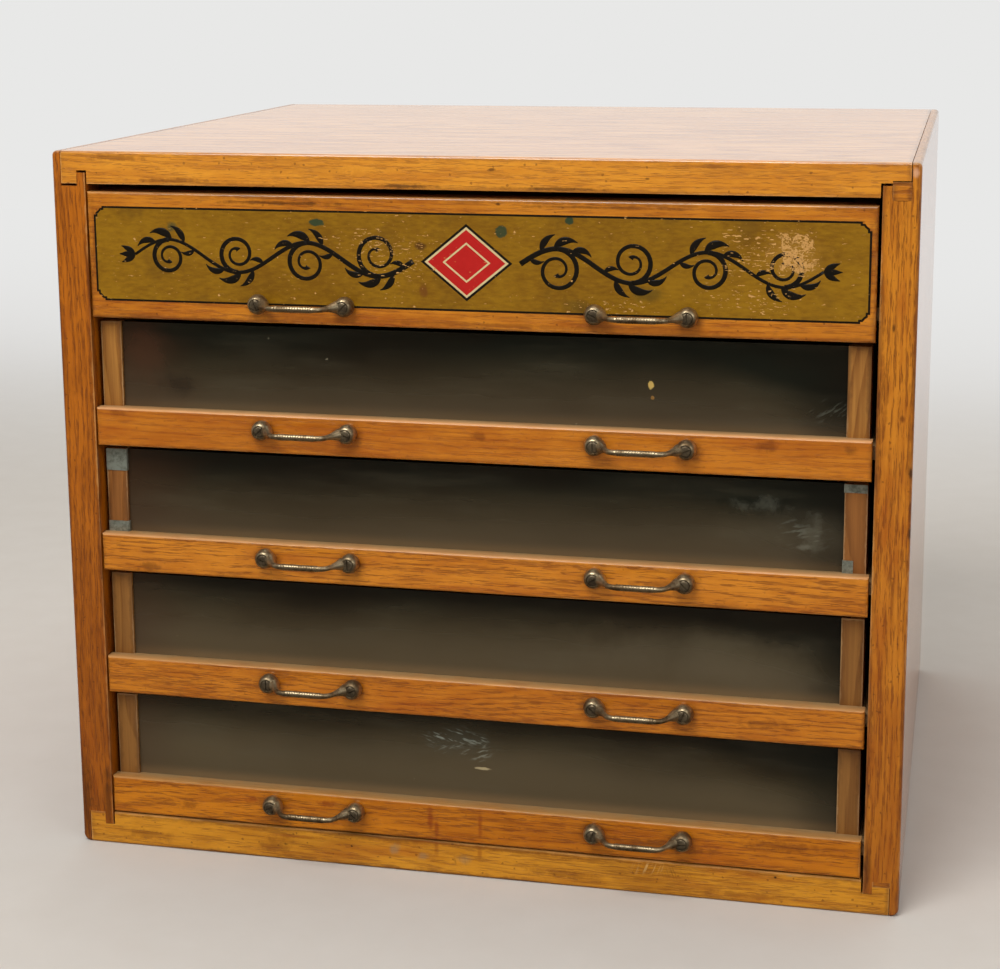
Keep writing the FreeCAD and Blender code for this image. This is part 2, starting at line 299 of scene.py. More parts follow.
# %% Node groups
def new_group(name, inputs, outputs):
    """An empty node group: what it is given, and a function that joins its outputs."""
    tree = bpy.data.node_groups.new(name, "ShaderNodeTree")
    kinds = {"f": "NodeSocketFloat", "v": "NodeSocketVector", "c": "NodeSocketColor"}
    for way, labels in (("INPUT", inputs), ("OUTPUT", outputs)):
        for label, kind in labels.items():
            tree.interface.new_socket(name=label, in_out=way, socket_type=kinds[kind])
    given = {socket.name: Value(socket) for socket in tree.nodes.new("NodeGroupInput").outputs}
    result = tree.nodes.new("NodeGroupOutput").inputs

    def finish(values):
        for label, value in values.items():
            join(value, result[label])
        print(name, "nodes:", len(tree.nodes))
        return tree

    return given, finish


def use(group, values):
    """Places a node group with its own values, and gives back what it puts out, by name."""
    return {socket.name: Value(socket) for socket in add("Group", values, node_tree=group).outputs}


print("group helpers ready")

# %% [markdown]
# Each material starts from the place of a point on its piece and from the way its surface faces
# there, and it ends at the sockets of its shader.

# %% Materials
def new_material(name, shader_values):
    """A material, its Principled BSDF, its object coordinates and its normals."""
    material = bpy.data.materials.new(name)
    material.use_nodes = True
    shader = material.node_tree.nodes["Principled BSDF"]
    for key, value in shader_values.items():
        shader.inputs[key].default_value = value
    places = add("TexCoord", tree=material.node_tree).outputs
    return material, shader, Value(places["Object"]), Value(places["Normal"])


def wire(shader, color, roughness=None, height=None, depth=None):
    """Joins the finished colour, roughness and height to the shader."""
    join(color, shader.inputs["Base Color"])
    if roughness:
        join(roughness, shader.inputs["Roughness"])
    if height:
        bump = add("Bump", {"Height": height, "Distance": depth})
        join(Value(bump.outputs["Normal"]), shader.inputs["Normal"])


print("material helpers ready")

# %% [markdown]
# A finish is laid on a piece by its name, and colours are written as they would be read off a screen,
# which is how a colour is read off a photograph.

# %% Dress a piece, and write a colour
def dress(name, *materials):
    """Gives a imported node, or a new piece, its materials."""
    thing = node[name] if isinstance(name, str) else name
    thing.data.materials.clear()
    for material in materials:
        thing.data.materials.append(material)


def colour(red, green, blue):
    """A colour as read on a screen from 0 to 255, turned into the shader's linear values."""
    values = []
    for channel in (red, green, blue):
        share = channel / 255
        values.append(share / 12.92 if share <= 0.04045 else ((share + 0.055) / 1.055) ** 2.4)
    return (*values, 1.0)


print("colour helper ready:", [round(value, 3) for value in colour(128, 128, 128)])

# %% [markdown]
# ## Backdrop finish and light
#
# Three large lamps light the cabinet, the strongest from above and in front. What the varnish
# and the metal mirror matters just as much: white behind the cabinet, and dark in front of it.
# So the wall end of the sheet and the world glow white for the camera and for glossy rays,
# glossy rays see a darker world and floor in front, and plain light from the world stays weak.

# %% Light path helper and studio paper
def mirrored_or_seen(tree):
    """1 for a ray from the camera, a glossy surface or a clear one, and 1 for a glossy one."""
    rays = add("LightPath", tree=tree).outputs
    seen, glossy, clear = (
        Value(rays[f"Is {kind} Ray"]) for kind in ("Camera", "Glossy", "Transmission"))
    return maths("MAXIMUM", maths("MAXIMUM", seen, glossy), clear), glossy


WALL = colour(232, 232, 231)
paper, shader, place, _ = new_material("studio_paper", {"Roughness": 0.8})
seen, glossy = mirrored_or_seen(paper.node_tree)
back = parts(place)[1]
floor_tone = blend(noise(place, 30), colour(206, 199, 190), colour(212, 206, 198))
floor_tone = blend(glossy * ramp(back, -0.15, -0.27), floor_tone, colour(56, 44, 30))
wire(shader, floor_tone)
glow = add("Emission", {"Color": WALL, "Strength": glossy * 0.08 + 1})
mixed = add("MixShader", {0: seen * ramp(back, 0.5, 2), 1: Value(shader.outputs[0]),
                          2: Value(glow.outputs[0])})
join(Value(mixed.outputs[0]), paper.node_tree.nodes["Material Output"].inputs["Surface"])
dress(sweep, paper)
print("paper nodes:", len(paper.node_tree.nodes))

# %% [markdown]
# The lamps are wide squares, so that their shadows fade out softly, and each one looks at the
# cabinet. The world does the rest.

# %% World and lamps
world = bpy.data.worlds.new("studio_light")
bpy.context.scene.world = world
world.use_nodes = True
background = world.node_tree.nodes["Background"]
background.inputs["Color"].default_value = WALL
seen, glossy = mirrored_or_seen(world.node_tree)
ahead = parts(Value(add("TexCoord", tree=world.node_tree).outputs["Generated"]))[1]
room = ramp(ahead, -0.35, 0.25, 0.2, 1.1)
plain = blend(seen, (0.5, 0.5, 0.5, 1), (1, 1, 1, 1))
join(blend(glossy, plain, room), background.inputs["Strength"])


def lamp(name, place, size, watts):
    """A large square lamp that looks at the cabinet."""
    data = bpy.data.lights.new(name, "AREA")
    data.size, data.energy = size, watts
    thing = bpy.data.objects.new(name, data)
    bpy.context.scene.collection.objects.link(thing)
    thing.location = place
    thing.rotation_euler = (Vector((0, 0, 0.25)) - Vector(place)).to_track_quat("-Z", "Y").to_euler()


lamp("key_lamp", (-0.5, -1.7, 2.5), 1.3, 46)
lamp("fill_lamp", (1.9, -2.0, 1.4), 1.2, 10)
lamp("top_lamp", (0.1, 0.5, 2.6), 1.8, 20)
bpy.context.scene.view_settings.view_transform = "Standard"

# %% [markdown]
# ## Oak
#
# Oak is ring-porous. Each year's ring starts with a row of wide pores, and a saw that runs
# along the trunk opens them as short dark dashes, crowded in lines that drift with the grain.
# The group builds it in that order, in a space where X runs along the board: rings round a
# far-off pith, dashes that are thick inside each ring's first part, then fine fibres and slow
# changes of tone. It is solid, so end grain comes out right without a second pattern. On the
# broad faces the rings are what the eye reads, as long lines and arches, so a value called
# Figure brings them forward there and holds the blotches back.

# %% Where a point lies in its growth ring
rings_per_metre = 260


def early_wood(given, space):
    """1 in the porous first part of a ring, 0 in the rest, with soft ends."""
    drift = streaks(space, (1.6, 5, 5), 2)
    ripple = streaks(space, (11, 60, 60), 4, 0.6)
    spacing = streaks(space, (0.7, 70, 70), 2)
    _, y, z = parts(given["Vector"])
    across, below = y + given["Pith Across"], z + given["Pith Below"]
    radius = maths("SQRT", across * across + below * below)
    rings = (radius + (drift * 0.06 + ripple * 0.006)) * rings_per_metre
    ring = maths("FRACT", rings + spacing * 3)
    return ramp(ring, 0, 0.2) * ramp(ring, 0.85, 0.25)


def shifted(given, along, across, below):
    """The board's own stretch of wood, moved by its seed, so that no two boards look alike."""
    seed = given["Seed"]
    shift = add("CombineXYZ", {0: seed * along, 1: seed * across, 2: seed * below})
    return vector_maths("ADD", given["Vector"], Value(shift.outputs[0]))


print("rings per metre:", rings_per_metre)

# %% [markdown]
# The group puts the rings, the pores and the tones together. A pore is a stretched noise cut
# off high, so that only its peaks show, and the cut is lower where the rings are porous.

# %% Node group: oak grain
def make_oak_grain():
    given, finish = new_group(
        "oak_grain",
        {"Vector": "v", "Seed": "f", "Light": "c", "Dark": "c", "Pore": "c", "Pith Across": "f",
         "Pith Below": "f", "Pores": "f", "Figure": "f"},
        {"Color": "c", "Roughness": "f", "Height": "f"})
    space = shifted(given, 3.17, 0.713, 0.391)
    early = early_wood(given, space)
    crowd = ramp(early * 0.34 + streaks(space, (9, 70, 70), 3, 0.6), 0.4, 0.82)
    dashes = ramp(crowd * 0.15 + streaks(space, (92, 1500, 1500), 2, 0.6), 0.64, 0.74)
    longer = ramp(crowd * 0.1 + streaks(space, (30, 760, 760), 2, 0.5), 0.6, 0.74, 0, 0.6)
    pores = clamped(maths("MAXIMUM", dashes, longer) * given["Pores"])
    fibre = streaks(space, (26, 560, 560), 3, 0.6)
    mottle = streaks(space, (34, 110, 110), 4, 0.65)
    tone = streaks(space, (6, 26, 26), 3, 0.6)
    rings_show = given["Figure"] * 0.34 + 0.14
    calm = given["Figure"] * -0.65 + 1
    blotches = ramp(mottle, 0.34, 0.66, -0.12, 0.3) + ramp(tone, 0.34, 0.66, -0.14, 0.34)
    fine = early * rings_show + ramp(fibre, 0.3, 0.7, -0.1, 0.24)
    wood = blend(clamped(blotches * calm + fine), given["Light"], given["Dark"])
    return finish({"Color": blend(pores * 0.62, wood, given["Pore"]),
                   "Roughness": ramp(pores, 0, 1, 0.3, 0.42),
                   "Height": fibre * 0.25 - pores})


oak_grain = make_oak_grain()

# %% [markdown]
# ## Worn edges, with painted highlight and shade
#
# Hands and cloths rub the varnish off the arrises, and dirt settles beside them. The pale line on each
# arris is also a painted highlight, and the dark band beside it is also a painted shade. For a board,
# which is nearly a box, the distance to its nearest arris is the middle one of its three distances to
# the faces: the smallest is nought on the face itself. The group works that out from the board's two
# corners, then breaks the line up with noise.

# %% Node group: arris wear, with painted highlight and shade
def make_arris_wear_and_light():
    given, finish = new_group(
        "arris_wear_and_light",
        {"Vector": "v", "Low": "v", "High": "v", "Width": "f", "Color": "c", "Roughness": "f",
         "Rubbed And Highlight": "c", "Highlight And Rub": "f", "Grime And Shade": "c", "Dirt And Shade": "f"},
        {"Color": "c", "Roughness": "f"})
    from_low = vector_maths("SUBTRACT", given["Vector"], given["Low"])
    from_high = vector_maths("SUBTRACT", given["High"], given["Vector"])
    x, y, z = parts(vector_maths("MINIMUM", from_low, from_high))
    largest = maths("MAXIMUM", maths("MAXIMUM", x, y), z)
    smallest = maths("MINIMUM", maths("MINIMUM", x, y), z)
    edge = x + y + z - (largest + smallest)
    ragged = noise(given["Vector"], 120, 4, 0.65)
    slow = noise(given["Vector"], 11)
    reach = given["Width"] * ramp(ragged, 0.3, 0.7, 0.3, 1.8)
    # The pale line on each arris is rubbed varnish and a painted highlight; the dark band beside it is
    # grime and painted shade.
    rubbed_and_highlight = clamped(1 - edge / reach) * ramp(slow, 0.35, 0.6)
    rubbed_and_highlight = clamped(rubbed_and_highlight * given["Highlight And Rub"])
    dirt_and_shade_reach = given["Width"] * ramp(ragged, 0.3, 0.7, 2, 4.5)
    dirt_and_shade = clamped(1 - edge / dirt_and_shade_reach) * ramp(slow, 0.66, 0.36, 0.3, 1)
    dirt_and_shade = clamped(dirt_and_shade * given["Dirt And Shade"])
    worn = blend(dirt_and_shade, given["Color"], given["Grime And Shade"])
    return finish({"Color": blend(rubbed_and_highlight, worn, given["Rubbed And Highlight"]),
                   "Roughness": given["Roughness"] + rubbed_and_highlight * 0.15 + dirt_and_shade * 0.2})


arris_wear_and_light = make_arris_wear_and_light()

# %% [markdown]
# ## Stains, chips and smudges
#
# One mark is a soft ball at a place on the wood, stretched to its size and with a ragged rim.
# The same group makes a pale scuff, a dark gouge, a run of varnish and a smear on the glass.

# %% Node group: one mark
def make_mark():
    given, finish = new_group(
        "mark",
        {"Vector": "v", "Centre": "v", "Size": "v", "Rim": "f", "Ragged": "f", "Softness": "f"},
        {"Mask": "f"})
    offset = vector_maths("SUBTRACT", given["Vector"], given["Centre"])
    share = vector_maths("LENGTH", vector_maths("DIVIDE", offset, given["Size"]))
    share = (given["Rim"] - 0.5) * given["Ragged"] + share
    return finish({"Mask": ramp(share, 1 - given["Softness"], 1, 1, 0)})


mark = make_mark()


def spot(place, rim, centre, size, ragged, softness):
    """The mask of one mark, whose centre and size are in mm."""
    return use(mark, {
        "Vector": place, "Rim": rim, "Centre": [v * mm for v in centre],
        "Size": [v * mm for v in size], "Ragged": ragged, "Softness": softness})["Mask"]


# %% [markdown]
# Marks come in lists, one entry for each stain. Those with rims of the same fineness share one
# noise, which keeps the material quick. Scratches are a stretched noise that shows only inside
# a mark, each patch turned to its own lean.

# %% Lay marks and scratches over a colour
def marked(place, color, marks):
    """Lays marks over a colour: each is a place, a size, a colour, a strength and its rim."""
    rims = {}
    for centre, size, tint, strength, ragged, fineness, softness in marks:
        if fineness not in rims:
            rims[fineness] = noise(place, fineness, 4, 0.65)
        mask = spot(place, rims[fineness], centre, size, ragged, softness)
        color = blend(mask * strength, color, tint)
    return color


def scratched(place, color, scratches, along=60, across=900):
    """Lays patches of fine, nearly parallel scratches over a colour, each leaning by an angle."""
    rim = noise(place, 60, 3, 0.6) if scratches else None
    for centre, size, tint, strength, lean in scratches:
        space = turned(place, (0, math.radians(lean), 0))
        lines = ramp(streaks(space, (along, 1, across), 2, 0.65), 0.52, 0.66)
        mask = spot(place, rim, centre, size, 1.6, 0.9) * lines
        color = blend(mask * strength, color, tint)
    return color


print("marks and scratches ready")

# %% [markdown]
# ## Specks and dust
#
# Small dots of spilt paint, dents and fly specks lie where a point of a random scatter comes
# close to the surface, so their sizes vary by themselves. Dust settles only on what faces up:
# the ledges of the rails have years of it, while the top is wiped.

# %% Node groups: specks and settled dust
def make_specks():
    given, finish = new_group("specks", {"Vector": "v", "Scale": "f", "Reach": "f"}, {"Mask": "f"})
    points = add("TexVoronoi", {"Vector": given["Vector"], "Scale": given["Scale"]})
    reach = given["Reach"] * ramp(noise(given["Vector"], 900, 2), 0.3, 0.7, 0.6, 1.4)
    near = 1 - Value(points.outputs["Distance"]) / reach
    return finish({"Mask": clamped(near * 3)})


def make_settled_dust():
    given, finish = new_group(
        "settled_dust",
        {"Vector": "v", "Normal": "v", "Color": "c", "Roughness": "f", "Dust": "c", "Amount": "f"},
        {"Color": "c", "Roughness": "f", "Mask": "f"})
    patchy = ramp(noise(given["Vector"], 45, 4, 0.6), 0.25, 0.6, 0.75, 1)
    mask = ramp(parts(given["Normal"])[2], 0.3, 0.8) * patchy
    mask = clamped(mask * given["Amount"])
    return finish({"Color": blend(mask, given["Color"], given["Dust"]),
                   "Roughness": mask * 0.35 + given["Roughness"], "Mask": mask})


specks = make_specks()
settled_dust = make_settled_dust()

# %% [markdown]
# ## The boards
#
# All boards came from the same few planks, so they share one recipe. What differs from board
# to board is the way the grain runs, where the pith lay, and how brown the old varnish is.
# The varnish itself is a clear coat, which is what turns the top nearly white where the wall
# is mirrored in it at a low angle.

# %% Directions and colours
ALONG_X = (0.0, 0.0, 0.0)
ALONG_Y = (0.0, 0.0, -math.pi / 2)
ALONG_Z = (0.0, math.pi / 2, 0.0)
PORE = colour(110, 50, 6)
# The pale arris colour is also a painted highlight, and the dark edge colour is also a painted shade.
RUBBED_AND_HIGHLIGHT = colour(226, 164, 92)
GRIME_AND_SHADE = colour(84, 36, 6)
DUST = colour(196, 164, 112)
# Ledge colours: a painted highlight on the rim, duller on the lower rails, and a painted shade in the
# corner, over dust.
LEDGE_RIM, LOW_LEDGE_RIM = colour(240, 176, 116), colour(190, 134, 70)
LEDGE_CORNER = colour(156, 126, 84)
print("pore colour:", [round(value, 3) for value in PORE])

# %% [markdown]
# One material is built for each board, in the order in which a board's surface came about: wood, worn
# edges with a painted highlight and shade, red blotches under the varnish, stains and scratches, specks,
# and dust on top. The ledge in front of each pane is dusty. Its rim is palest, which is a painted
# highlight, and is duller on the lower rails. It is grey in its corner, which is a painted shade.

# %% Oak material for one board
ledge_depth = 10 * mm
edge_reach = 1.0 * mm
pore_depth = 0.18 * mm


def oak(name, along, seed, light, dark, marks, pith=(0.06, 0.09), pores=1.0, dirt_and_shade=0.75, dust=0.3,
        freckles=0.5, scratches=(), gloss=1.5):
    """Dresses a board in varnished oak. A rail, with much dust, has a painted highlight on its ledge's
    rim and a painted shade in its corner.
    """
    material, shader, place, normal = new_material("oak_" + name, {
        "Coat Roughness": 0.12, "Coat IOR": gloss, "Specular IOR Level": 0.2})
    board = turned(place, along)
    broad = ramp(maths("ABSOLUTE", parts(normal)[1]), 0.7, 0.4)
    wood = use(oak_grain, {
        "Vector": board, "Seed": seed, "Light": light, "Dark": dark, "Pore": PORE,
        "Pith Across": pith[0], "Pith Below": pith[1], "Pores": pores, "Figure": broad})
    low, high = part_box(name)
    # Worn edges: a pale line that is partly a painted highlight, and a dark band that is partly painted
    # shade.
    worn = use(arris_wear_and_light, {
        "Vector": place, "Low": low, "High": high, "Width": edge_reach, "Color": wood["Color"],
        "Roughness": wood["Roughness"], "Rubbed And Highlight": RUBBED_AND_HIGHLIGHT, "Highlight And Rub": 0.7, "Grime And Shade": GRIME_AND_SHADE,
        "Dirt And Shade": dirt_and_shade})
    warmer = ramp(streaks(board, (9, 60, 60), 4, 0.6), 0.5, 0.75) * (broad * -0.35 + 0.45)
    color = blend(warmer, worn["Color"], colour(164, 72, 14))
    color = scratched(place, marked(place, color, marks), scratches)
    dots = use(specks, {"Vector": place, "Scale": 140, "Reach": 0.12})["Mask"]
    color = blend(dots * freckles, color, colour(92, 44, 14))
    _, y, z = parts(place)
    # The ledge of a rail: its rim is a painted highlight, duller on the lower rails, and its corner is a
    # painted shade, laid as the colour of its dust.
    rim = blend(ramp(z, 0.03, 0.32), LOW_LEDGE_RIM, LEDGE_RIM)
    ledge = blend(clamped((y - front) / ledge_depth), rim, LEDGE_CORNER)
    dusty = use(settled_dust, {
        "Vector": place, "Normal": normal, "Color": color, "Roughness": worn["Roughness"],
        "Dust": ledge if dust > 0.5 else DUST, "Amount": dust})
    wire(shader, dusty["Color"], dusty["Roughness"], wood["Height"], pore_depth)
    join((1 - dusty["Mask"]) * 0.9, shader.inputs["Coat Weight"])
    dress(name, material)


print("oak ready, ledge depth:", ledge_depth)

# %% [markdown]
# ## What happened to each board, and where light and shade are painted
#
# A mark is given in millimetres, as a place on the front, half its width and height, a colour and a
# strength. Three kinds come up again and again: brown rims round the screws where polish gathered, made
# darker as painted shade, with a painted shadow under each bar; the dark line in a seam of a joint; and
# a plain mark, used for stains and for a few patches of painted highlight and shade.

# %% Kinds of marks
def pull_place(name):
    """The middle of a pull's two screws, on the face of its drawer."""
    low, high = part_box(name)
    return Vector(((low.x + high.x) / 2, high.y, (low.z + high.z) / 2))


def halos_and_bar_shadows(number, strength=0.7):
    """Brown rims round the four screws of a drawer, where polish gathered, made darker as painted shade,
    and a painted shadow under its two bars.
    """
    marks = []
    for side in ("left", "right"):
        middle = pull_place(f"drawer_{number}_pull_{side}") / mm
        # The rims round the screws are grime, made darker as painted shade.
        for end in (-1, 1):
            marks.append(((middle.x + end * 28.6, middle.y, middle.z - 1.5), (12, 900, 10),
                          colour(104, 48, 8), strength, 1.1, 110.0, 0.8))
        # A painted shadow under the bar.
        marks.append(((middle.x, middle.y, middle.z - 9.0), (34, 900, 4.5),
                      colour(128, 56, 10), strength * 0.6, 1.4, 70.0, 0.9))
    return marks


def seam(x0, z0, x1, z1, tint=(66, 28, 8), width=0.42, strength=0.9):
    """A thin dark line on the front, from one end to the other, level or upright."""
    size = (max(abs(x1 - x0) / 2, width), 14, max(abs(z1 - z0) / 2, width))
    return (((x0 + x1) / 2, front / mm, (z0 + z1) / 2), size, colour(*tint), strength, 0.35,
            260.0, 0.45)


def front_mark(x, z, wide, high, tint, strength, ragged=2.2, fineness=150.0, softness=0.8, deep=14):
    """A mark on the front, which runs back over the arris only as far as it is deep."""
    return ((x, front / mm, z), (wide, deep, high), colour(*tint), strength, ragged, fineness,
            softness)


print("a pull's middle:", [round(value, 4) for value in pull_place("drawer_1_pull_left")])

# %% [markdown]
# The marks on the case were read off the photograph: dark lines in the seams of the corner joints,
# gouges on the right-hand arris, dark marks at the lower ends of both upright boards, a painted shade
# that darkens both of them towards the foot, a painted highlight on the top corner of the right lip, and
# pale stains, drips and scratches along the foot.

# %% Marks on the case
BROWN, DARK, DRIP, GREY = (110, 50, 10), (52, 26, 8), (138, 54, 12), (150, 132, 100)
TOP_MARKS = [
    front_mark(0, 458, 420, 22, (254, 163, 43), 0.25, 0.3, 20.0, 0.4),
    front_mark(-40, 451, 26, 1.6, DARK, 0.7, 2.0, 160.0), front_mark(60, 451, 40, 1.4, DARK, 0.6, 2.0, 160.0),
    front_mark(-190, 452, 30, 2.2, BROWN, 0.6, 2.0), front_mark(150, 466, 40, 1.6, BROWN, 0.4, 2.0),
    front_mark(-228, 466, 24, 2.4, BROWN, 0.5, 2.0), front_mark(16, 462, 3, 1.2, DARK, 0.7),
    front_mark(112, 458, 2.0, 1.0, DARK, 0.7), front_mark(-100, 460, 50, 5, (190, 116, 30), 0.4)]
BOTTOM_MARKS = [
    front_mark(-52, 14.6, 5.4, 5.0, GREY, 0.5, 1.6), front_mark(-33, 11.6, 5, 4.0, GREY, 0.45, 1.6),
    front_mark(-5, 11.6, 7, 4.6, GREY, 0.4, 1.6), front_mark(-128, 11.0, 2.6, 1.6, DARK, 0.7, 1.2),
    front_mark(-82, 13.8, 1.2, 0.9, DARK, 0.95, 0.6), front_mark(-135, 9, 16, 7, BROWN, 0.45),
    front_mark(196.5, 19.2, 1.3, 1.1, (24, 14, 8), 0.95, 0.5), front_mark(206, 21.0, 4, 1.2, GREY, 0.6),
    front_mark(-24, 18, 2.4, 8, DRIP, 0.4, 1.0), front_mark(5, 17, 2.0, 6, DRIP, 0.4, 1.0),
    front_mark(-120, 17, 24, 1.6, DRIP, 0.45, 1.6), front_mark(60, 8, 30, 3.5, BROWN, 0.4),
    front_mark(-225, 8, 22, 5, BROWN, 0.4), front_mark(180, 5, 40, 3.0, BROWN, 0.4),
    front_mark(20, 21, 60, 1.6, BROWN, 0.5, 2.0)]
BOTTOM_SCRATCHES = [
    ((118, front / mm, 18), (16, 900, 6), colour(232, 190, 118), 0.6, 70.0),
    ((134, front / mm, 15), (14, 900, 6), colour(92, 48, 12), 0.6, 110.0),
    ((-10, front / mm, 11), (10, 900, 6), colour(84, 44, 12), 0.7, 100.0)]
LEFT_MARKS = [
    # A painted shade: the left upright is darker towards the foot.
    front_mark(-262, 60, 60, 260, (124, 60, 12), 0.37, 0.3, 20.0, 1.0, 900),
    front_mark(-270, 30, 5, 46, DARK, 0.5, 1.0), front_mark(-254, 34, 4, 30, DARK, 0.55, 1.0),
    front_mark(-272.6, 300, 1.6, 110, BROWN, 0.5, 1.2), seam(-256.45, 447.6, -256.45, 456.4)]
RIGHT_MARKS = [
    # A painted shade: the right upright is darker towards the foot.
    front_mark(262, 40, 60, 240, (138, 66, 14), 0.4, 0.3, 20.0, 1.0, 900),
    front_mark(271.8, 284, 1.8, 5, DARK, 0.8, 1.4, 200.0), front_mark(272.4, 262, 1.6, 14, BROWN, 0.7, 1.4, 200.0),
    front_mark(272.4, 247, 1.6, 5, DARK, 0.7, 1.4, 200.0), front_mark(259.4, 372, 1.2, 3.2, DARK, 0.7, 1.0),
    front_mark(266, 318, 2.2, 3.2, BROWN, 0.7, 1.2), front_mark(253, 30, 3.4, 26, DARK, 0.5, 1.0),
    # The pale pink spot on the top corner of the lip is a painted highlight.
    front_mark(269.6, 464, 3.0, 4.0, (232, 178, 140), 0.7, 0.9), front_mark(256, 330, 2, 30, BROWN, 0.35),
    seam(256.45, 447.6, 256.45, 458.0), seam(256.45, 447.6, 267.45, 447.6),
    seam(267.45, 447.0, 267.45, 469.0), seam(251.2, 456.4, 256.4, 456.4)]
print("marks on the case:", len(TOP_MARKS + BOTTOM_MARKS + LEFT_MARKS + RIGHT_MARKS))

# %% [markdown]
# The drawers have fewer. Each has the brown rims round its screws, made darker as painted shade, and a
# painted shadow under each bar. The lowest rail, which is the one most splashed, has two long drips.

# %% Marks on the drawers
FRONT_MARKS = [
    front_mark(-246, 408, 3, 40, BROWN, 0.6, 1.2), front_mark(245, 408, 2.2, 36, BROWN, 0.4, 1.2),
    front_mark(-120, 439, 60, 1.6, DARK, 0.6, 2.0, 160.0), front_mark(80, 440, 70, 1.2, DARK, 0.5, 2.0, 160.0),
    front_mark(20, 441, 2.2, 1.2, DARK, 0.8, 1.0), front_mark(0, 366, 200, 1.8, BROWN, 0.4, 2.0)]
RAIL_MARKS = {
    2: [front_mark(186, 297.4, 9, 5, BROWN, 0.6, 1.6), front_mark(7, 295, 6, 4, BROWN, 0.5),
        front_mark(236, 297, 5, 5, DARK, 0.4), front_mark(-236, 300, 8, 4, BROWN, 0.4)],
    3: [front_mark(-217.5, 197, 10, 4, DARK, 0.45), front_mark(120, 206, 26, 3, BROWN, 0.4)],
    4: [front_mark(-150, 118, 12, 4, BROWN, 0.4), front_mark(190, 120, 24, 4, BROWN, 0.45)],
    5: [front_mark(-28, 38, 3.0, 11, DRIP, 0.7, 1.0), front_mark(-24, 31, 2.4, 10, DRIP, 0.6, 1.0),
        front_mark(5.2, 37, 2.2, 12, DRIP, 0.6, 1.0), front_mark(-150, 40, 7, 4, DRIP, 0.6),
        front_mark(-98, 42, 9, 3, DRIP, 0.6), front_mark(-196, 33, 9, 4, BROWN, 0.5),
        front_mark(120, 33, 50, 5, BROWN, 0.5), front_mark(200, 40, 34, 5, BROWN, 0.45)]}
for number in range(1, 6):
    halos_and_shadows = halos_and_bar_shadows(number)
    if number == 1:
        FRONT_MARKS += halos_and_shadows
    else:
        RAIL_MARKS[number] += halos_and_shadows
print("marks on the top drawer's front:", len(FRONT_MARKS))

# %% [markdown]
# Each board gets its direction, its seed, a pair of colours and its marks. The wiped front of the top
# drawer and the dusty rails differ in how much pore and dust they show, and in how dark their edges are,
# with grime and painted shade.

# %% Dress the case and the fronts
GOLDEN = (colour(232, 156, 44), colour(196, 116, 24))
HONEY = (colour(212, 132, 32), colour(166, 86, 14))
RUSSET = (colour(190, 106, 18), colour(138, 70, 8))
STRAW = (colour(220, 149, 37), colour(178, 107, 15))
APRICOT = (colour(208, 126, 30), colour(174, 92, 16))
LIGHT_APRICOT = (colour(218, 136, 36), colour(184, 102, 20))
AMBER = (colour(211, 128, 21), colour(173, 93, 9))
QUIET = {"pores": 0.5, "dirt_and_shade": 0.35, "dust": 1.0, "freckles": 0.2}
LINED = {"pores": 0.9, "dirt_and_shade": 0.45, "dust": 1.0, "freckles": 0.25}
for name, along, seed, shades, marks, more in (
        ("case_top", ALONG_X, 1.0, GOLDEN, TOP_MARKS,
         {"pores": 0.8, "dust": 0.06, "gloss": 1.75}),
        ("case_bottom", ALONG_X, 2.0, STRAW, BOTTOM_MARKS,
         {"dirt_and_shade": 0.8, "pores": 0.65, "scratches": BOTTOM_SCRATCHES}),
        ("case_side_left", ALONG_Z, 3.0, RUSSET, LEFT_MARKS, {}),
        ("case_side_right", ALONG_Z, 4.0, HONEY, RIGHT_MARKS, {}),
        ("joint_fillers", ALONG_X, 5.0, HONEY, (), {}),
        ("drawer_1_front", ALONG_X, 6.0, HONEY, FRONT_MARKS,
         {"pith": (0.4, 0.02), "pores": 0.6}),
        ("drawer_2_rail", ALONG_X, 7.0, APRICOT, RAIL_MARKS[2], QUIET),
        ("drawer_3_rail", ALONG_X, 8.0, LIGHT_APRICOT, RAIL_MARKS[3], LINED),
        ("drawer_4_rail", ALONG_X, 9.0, APRICOT, RAIL_MARKS[4], LINED),
        ("drawer_5_rail", ALONG_X, 10.0, AMBER, RAIL_MARKS[5], LINED)):
    oak(name, along, seed, *shades, marks, **more)
print("oak boards dressed")

# %% [markdown]
# ## Drawer boxes
#
# The drawer sides, whose front ends show beside the glass, are a plain pale wood that has
# darkened without varnish. So are the drawers' backs and bottoms, the runners and the back of
# the case. Such a wood has no rows of pores. What shows is the hard, dark end of each year's
# ring, a thin line that wanders along the board, and a fine silky fibre between the lines.

# %% Node group: plain grain
def make_plain_grain():
    given, finish = new_group(
        "plain_grain", {"Vector": "v", "Seed": "f", "Light": "c", "Dark": "c"},
        {"Color": "c", "Roughness": "f", "Height": "f"})
    space = shifted(given, 2.71, 0.0613, 0.0391)
    drift = streaks(space, (1.3, 5, 5), 2)
    ripple = streaks(space, (8, 45, 45), 3, 0.6)
    _, across, below = parts(space)
    bent = below * 0.6 + across + drift * 0.16
    ring = maths("FRACT", (ripple * 0.006 + bent) * 170)
    late = ramp(ring, 0.35, 0.9) * ramp(ring, 1, 0.92)
    fibre = streaks(space, (16, 620, 620), 4, 0.65)
    tone = ramp(streaks(space, (2, 14, 14), 3, 0.6), 0.3, 0.7, -0.1, 0.35)
    shade = clamped(late * 0.5 + ramp(fibre, 0.3, 0.7, -0.15, 0.4) + tone)
    return finish({"Color": blend(shade, given["Light"], given["Dark"]),
                   "Roughness": ramp(late, 0, 1, 0.4, 0.32),
                   "Height": fibre * 0.6 + late})


plain_grain = make_plain_grain()

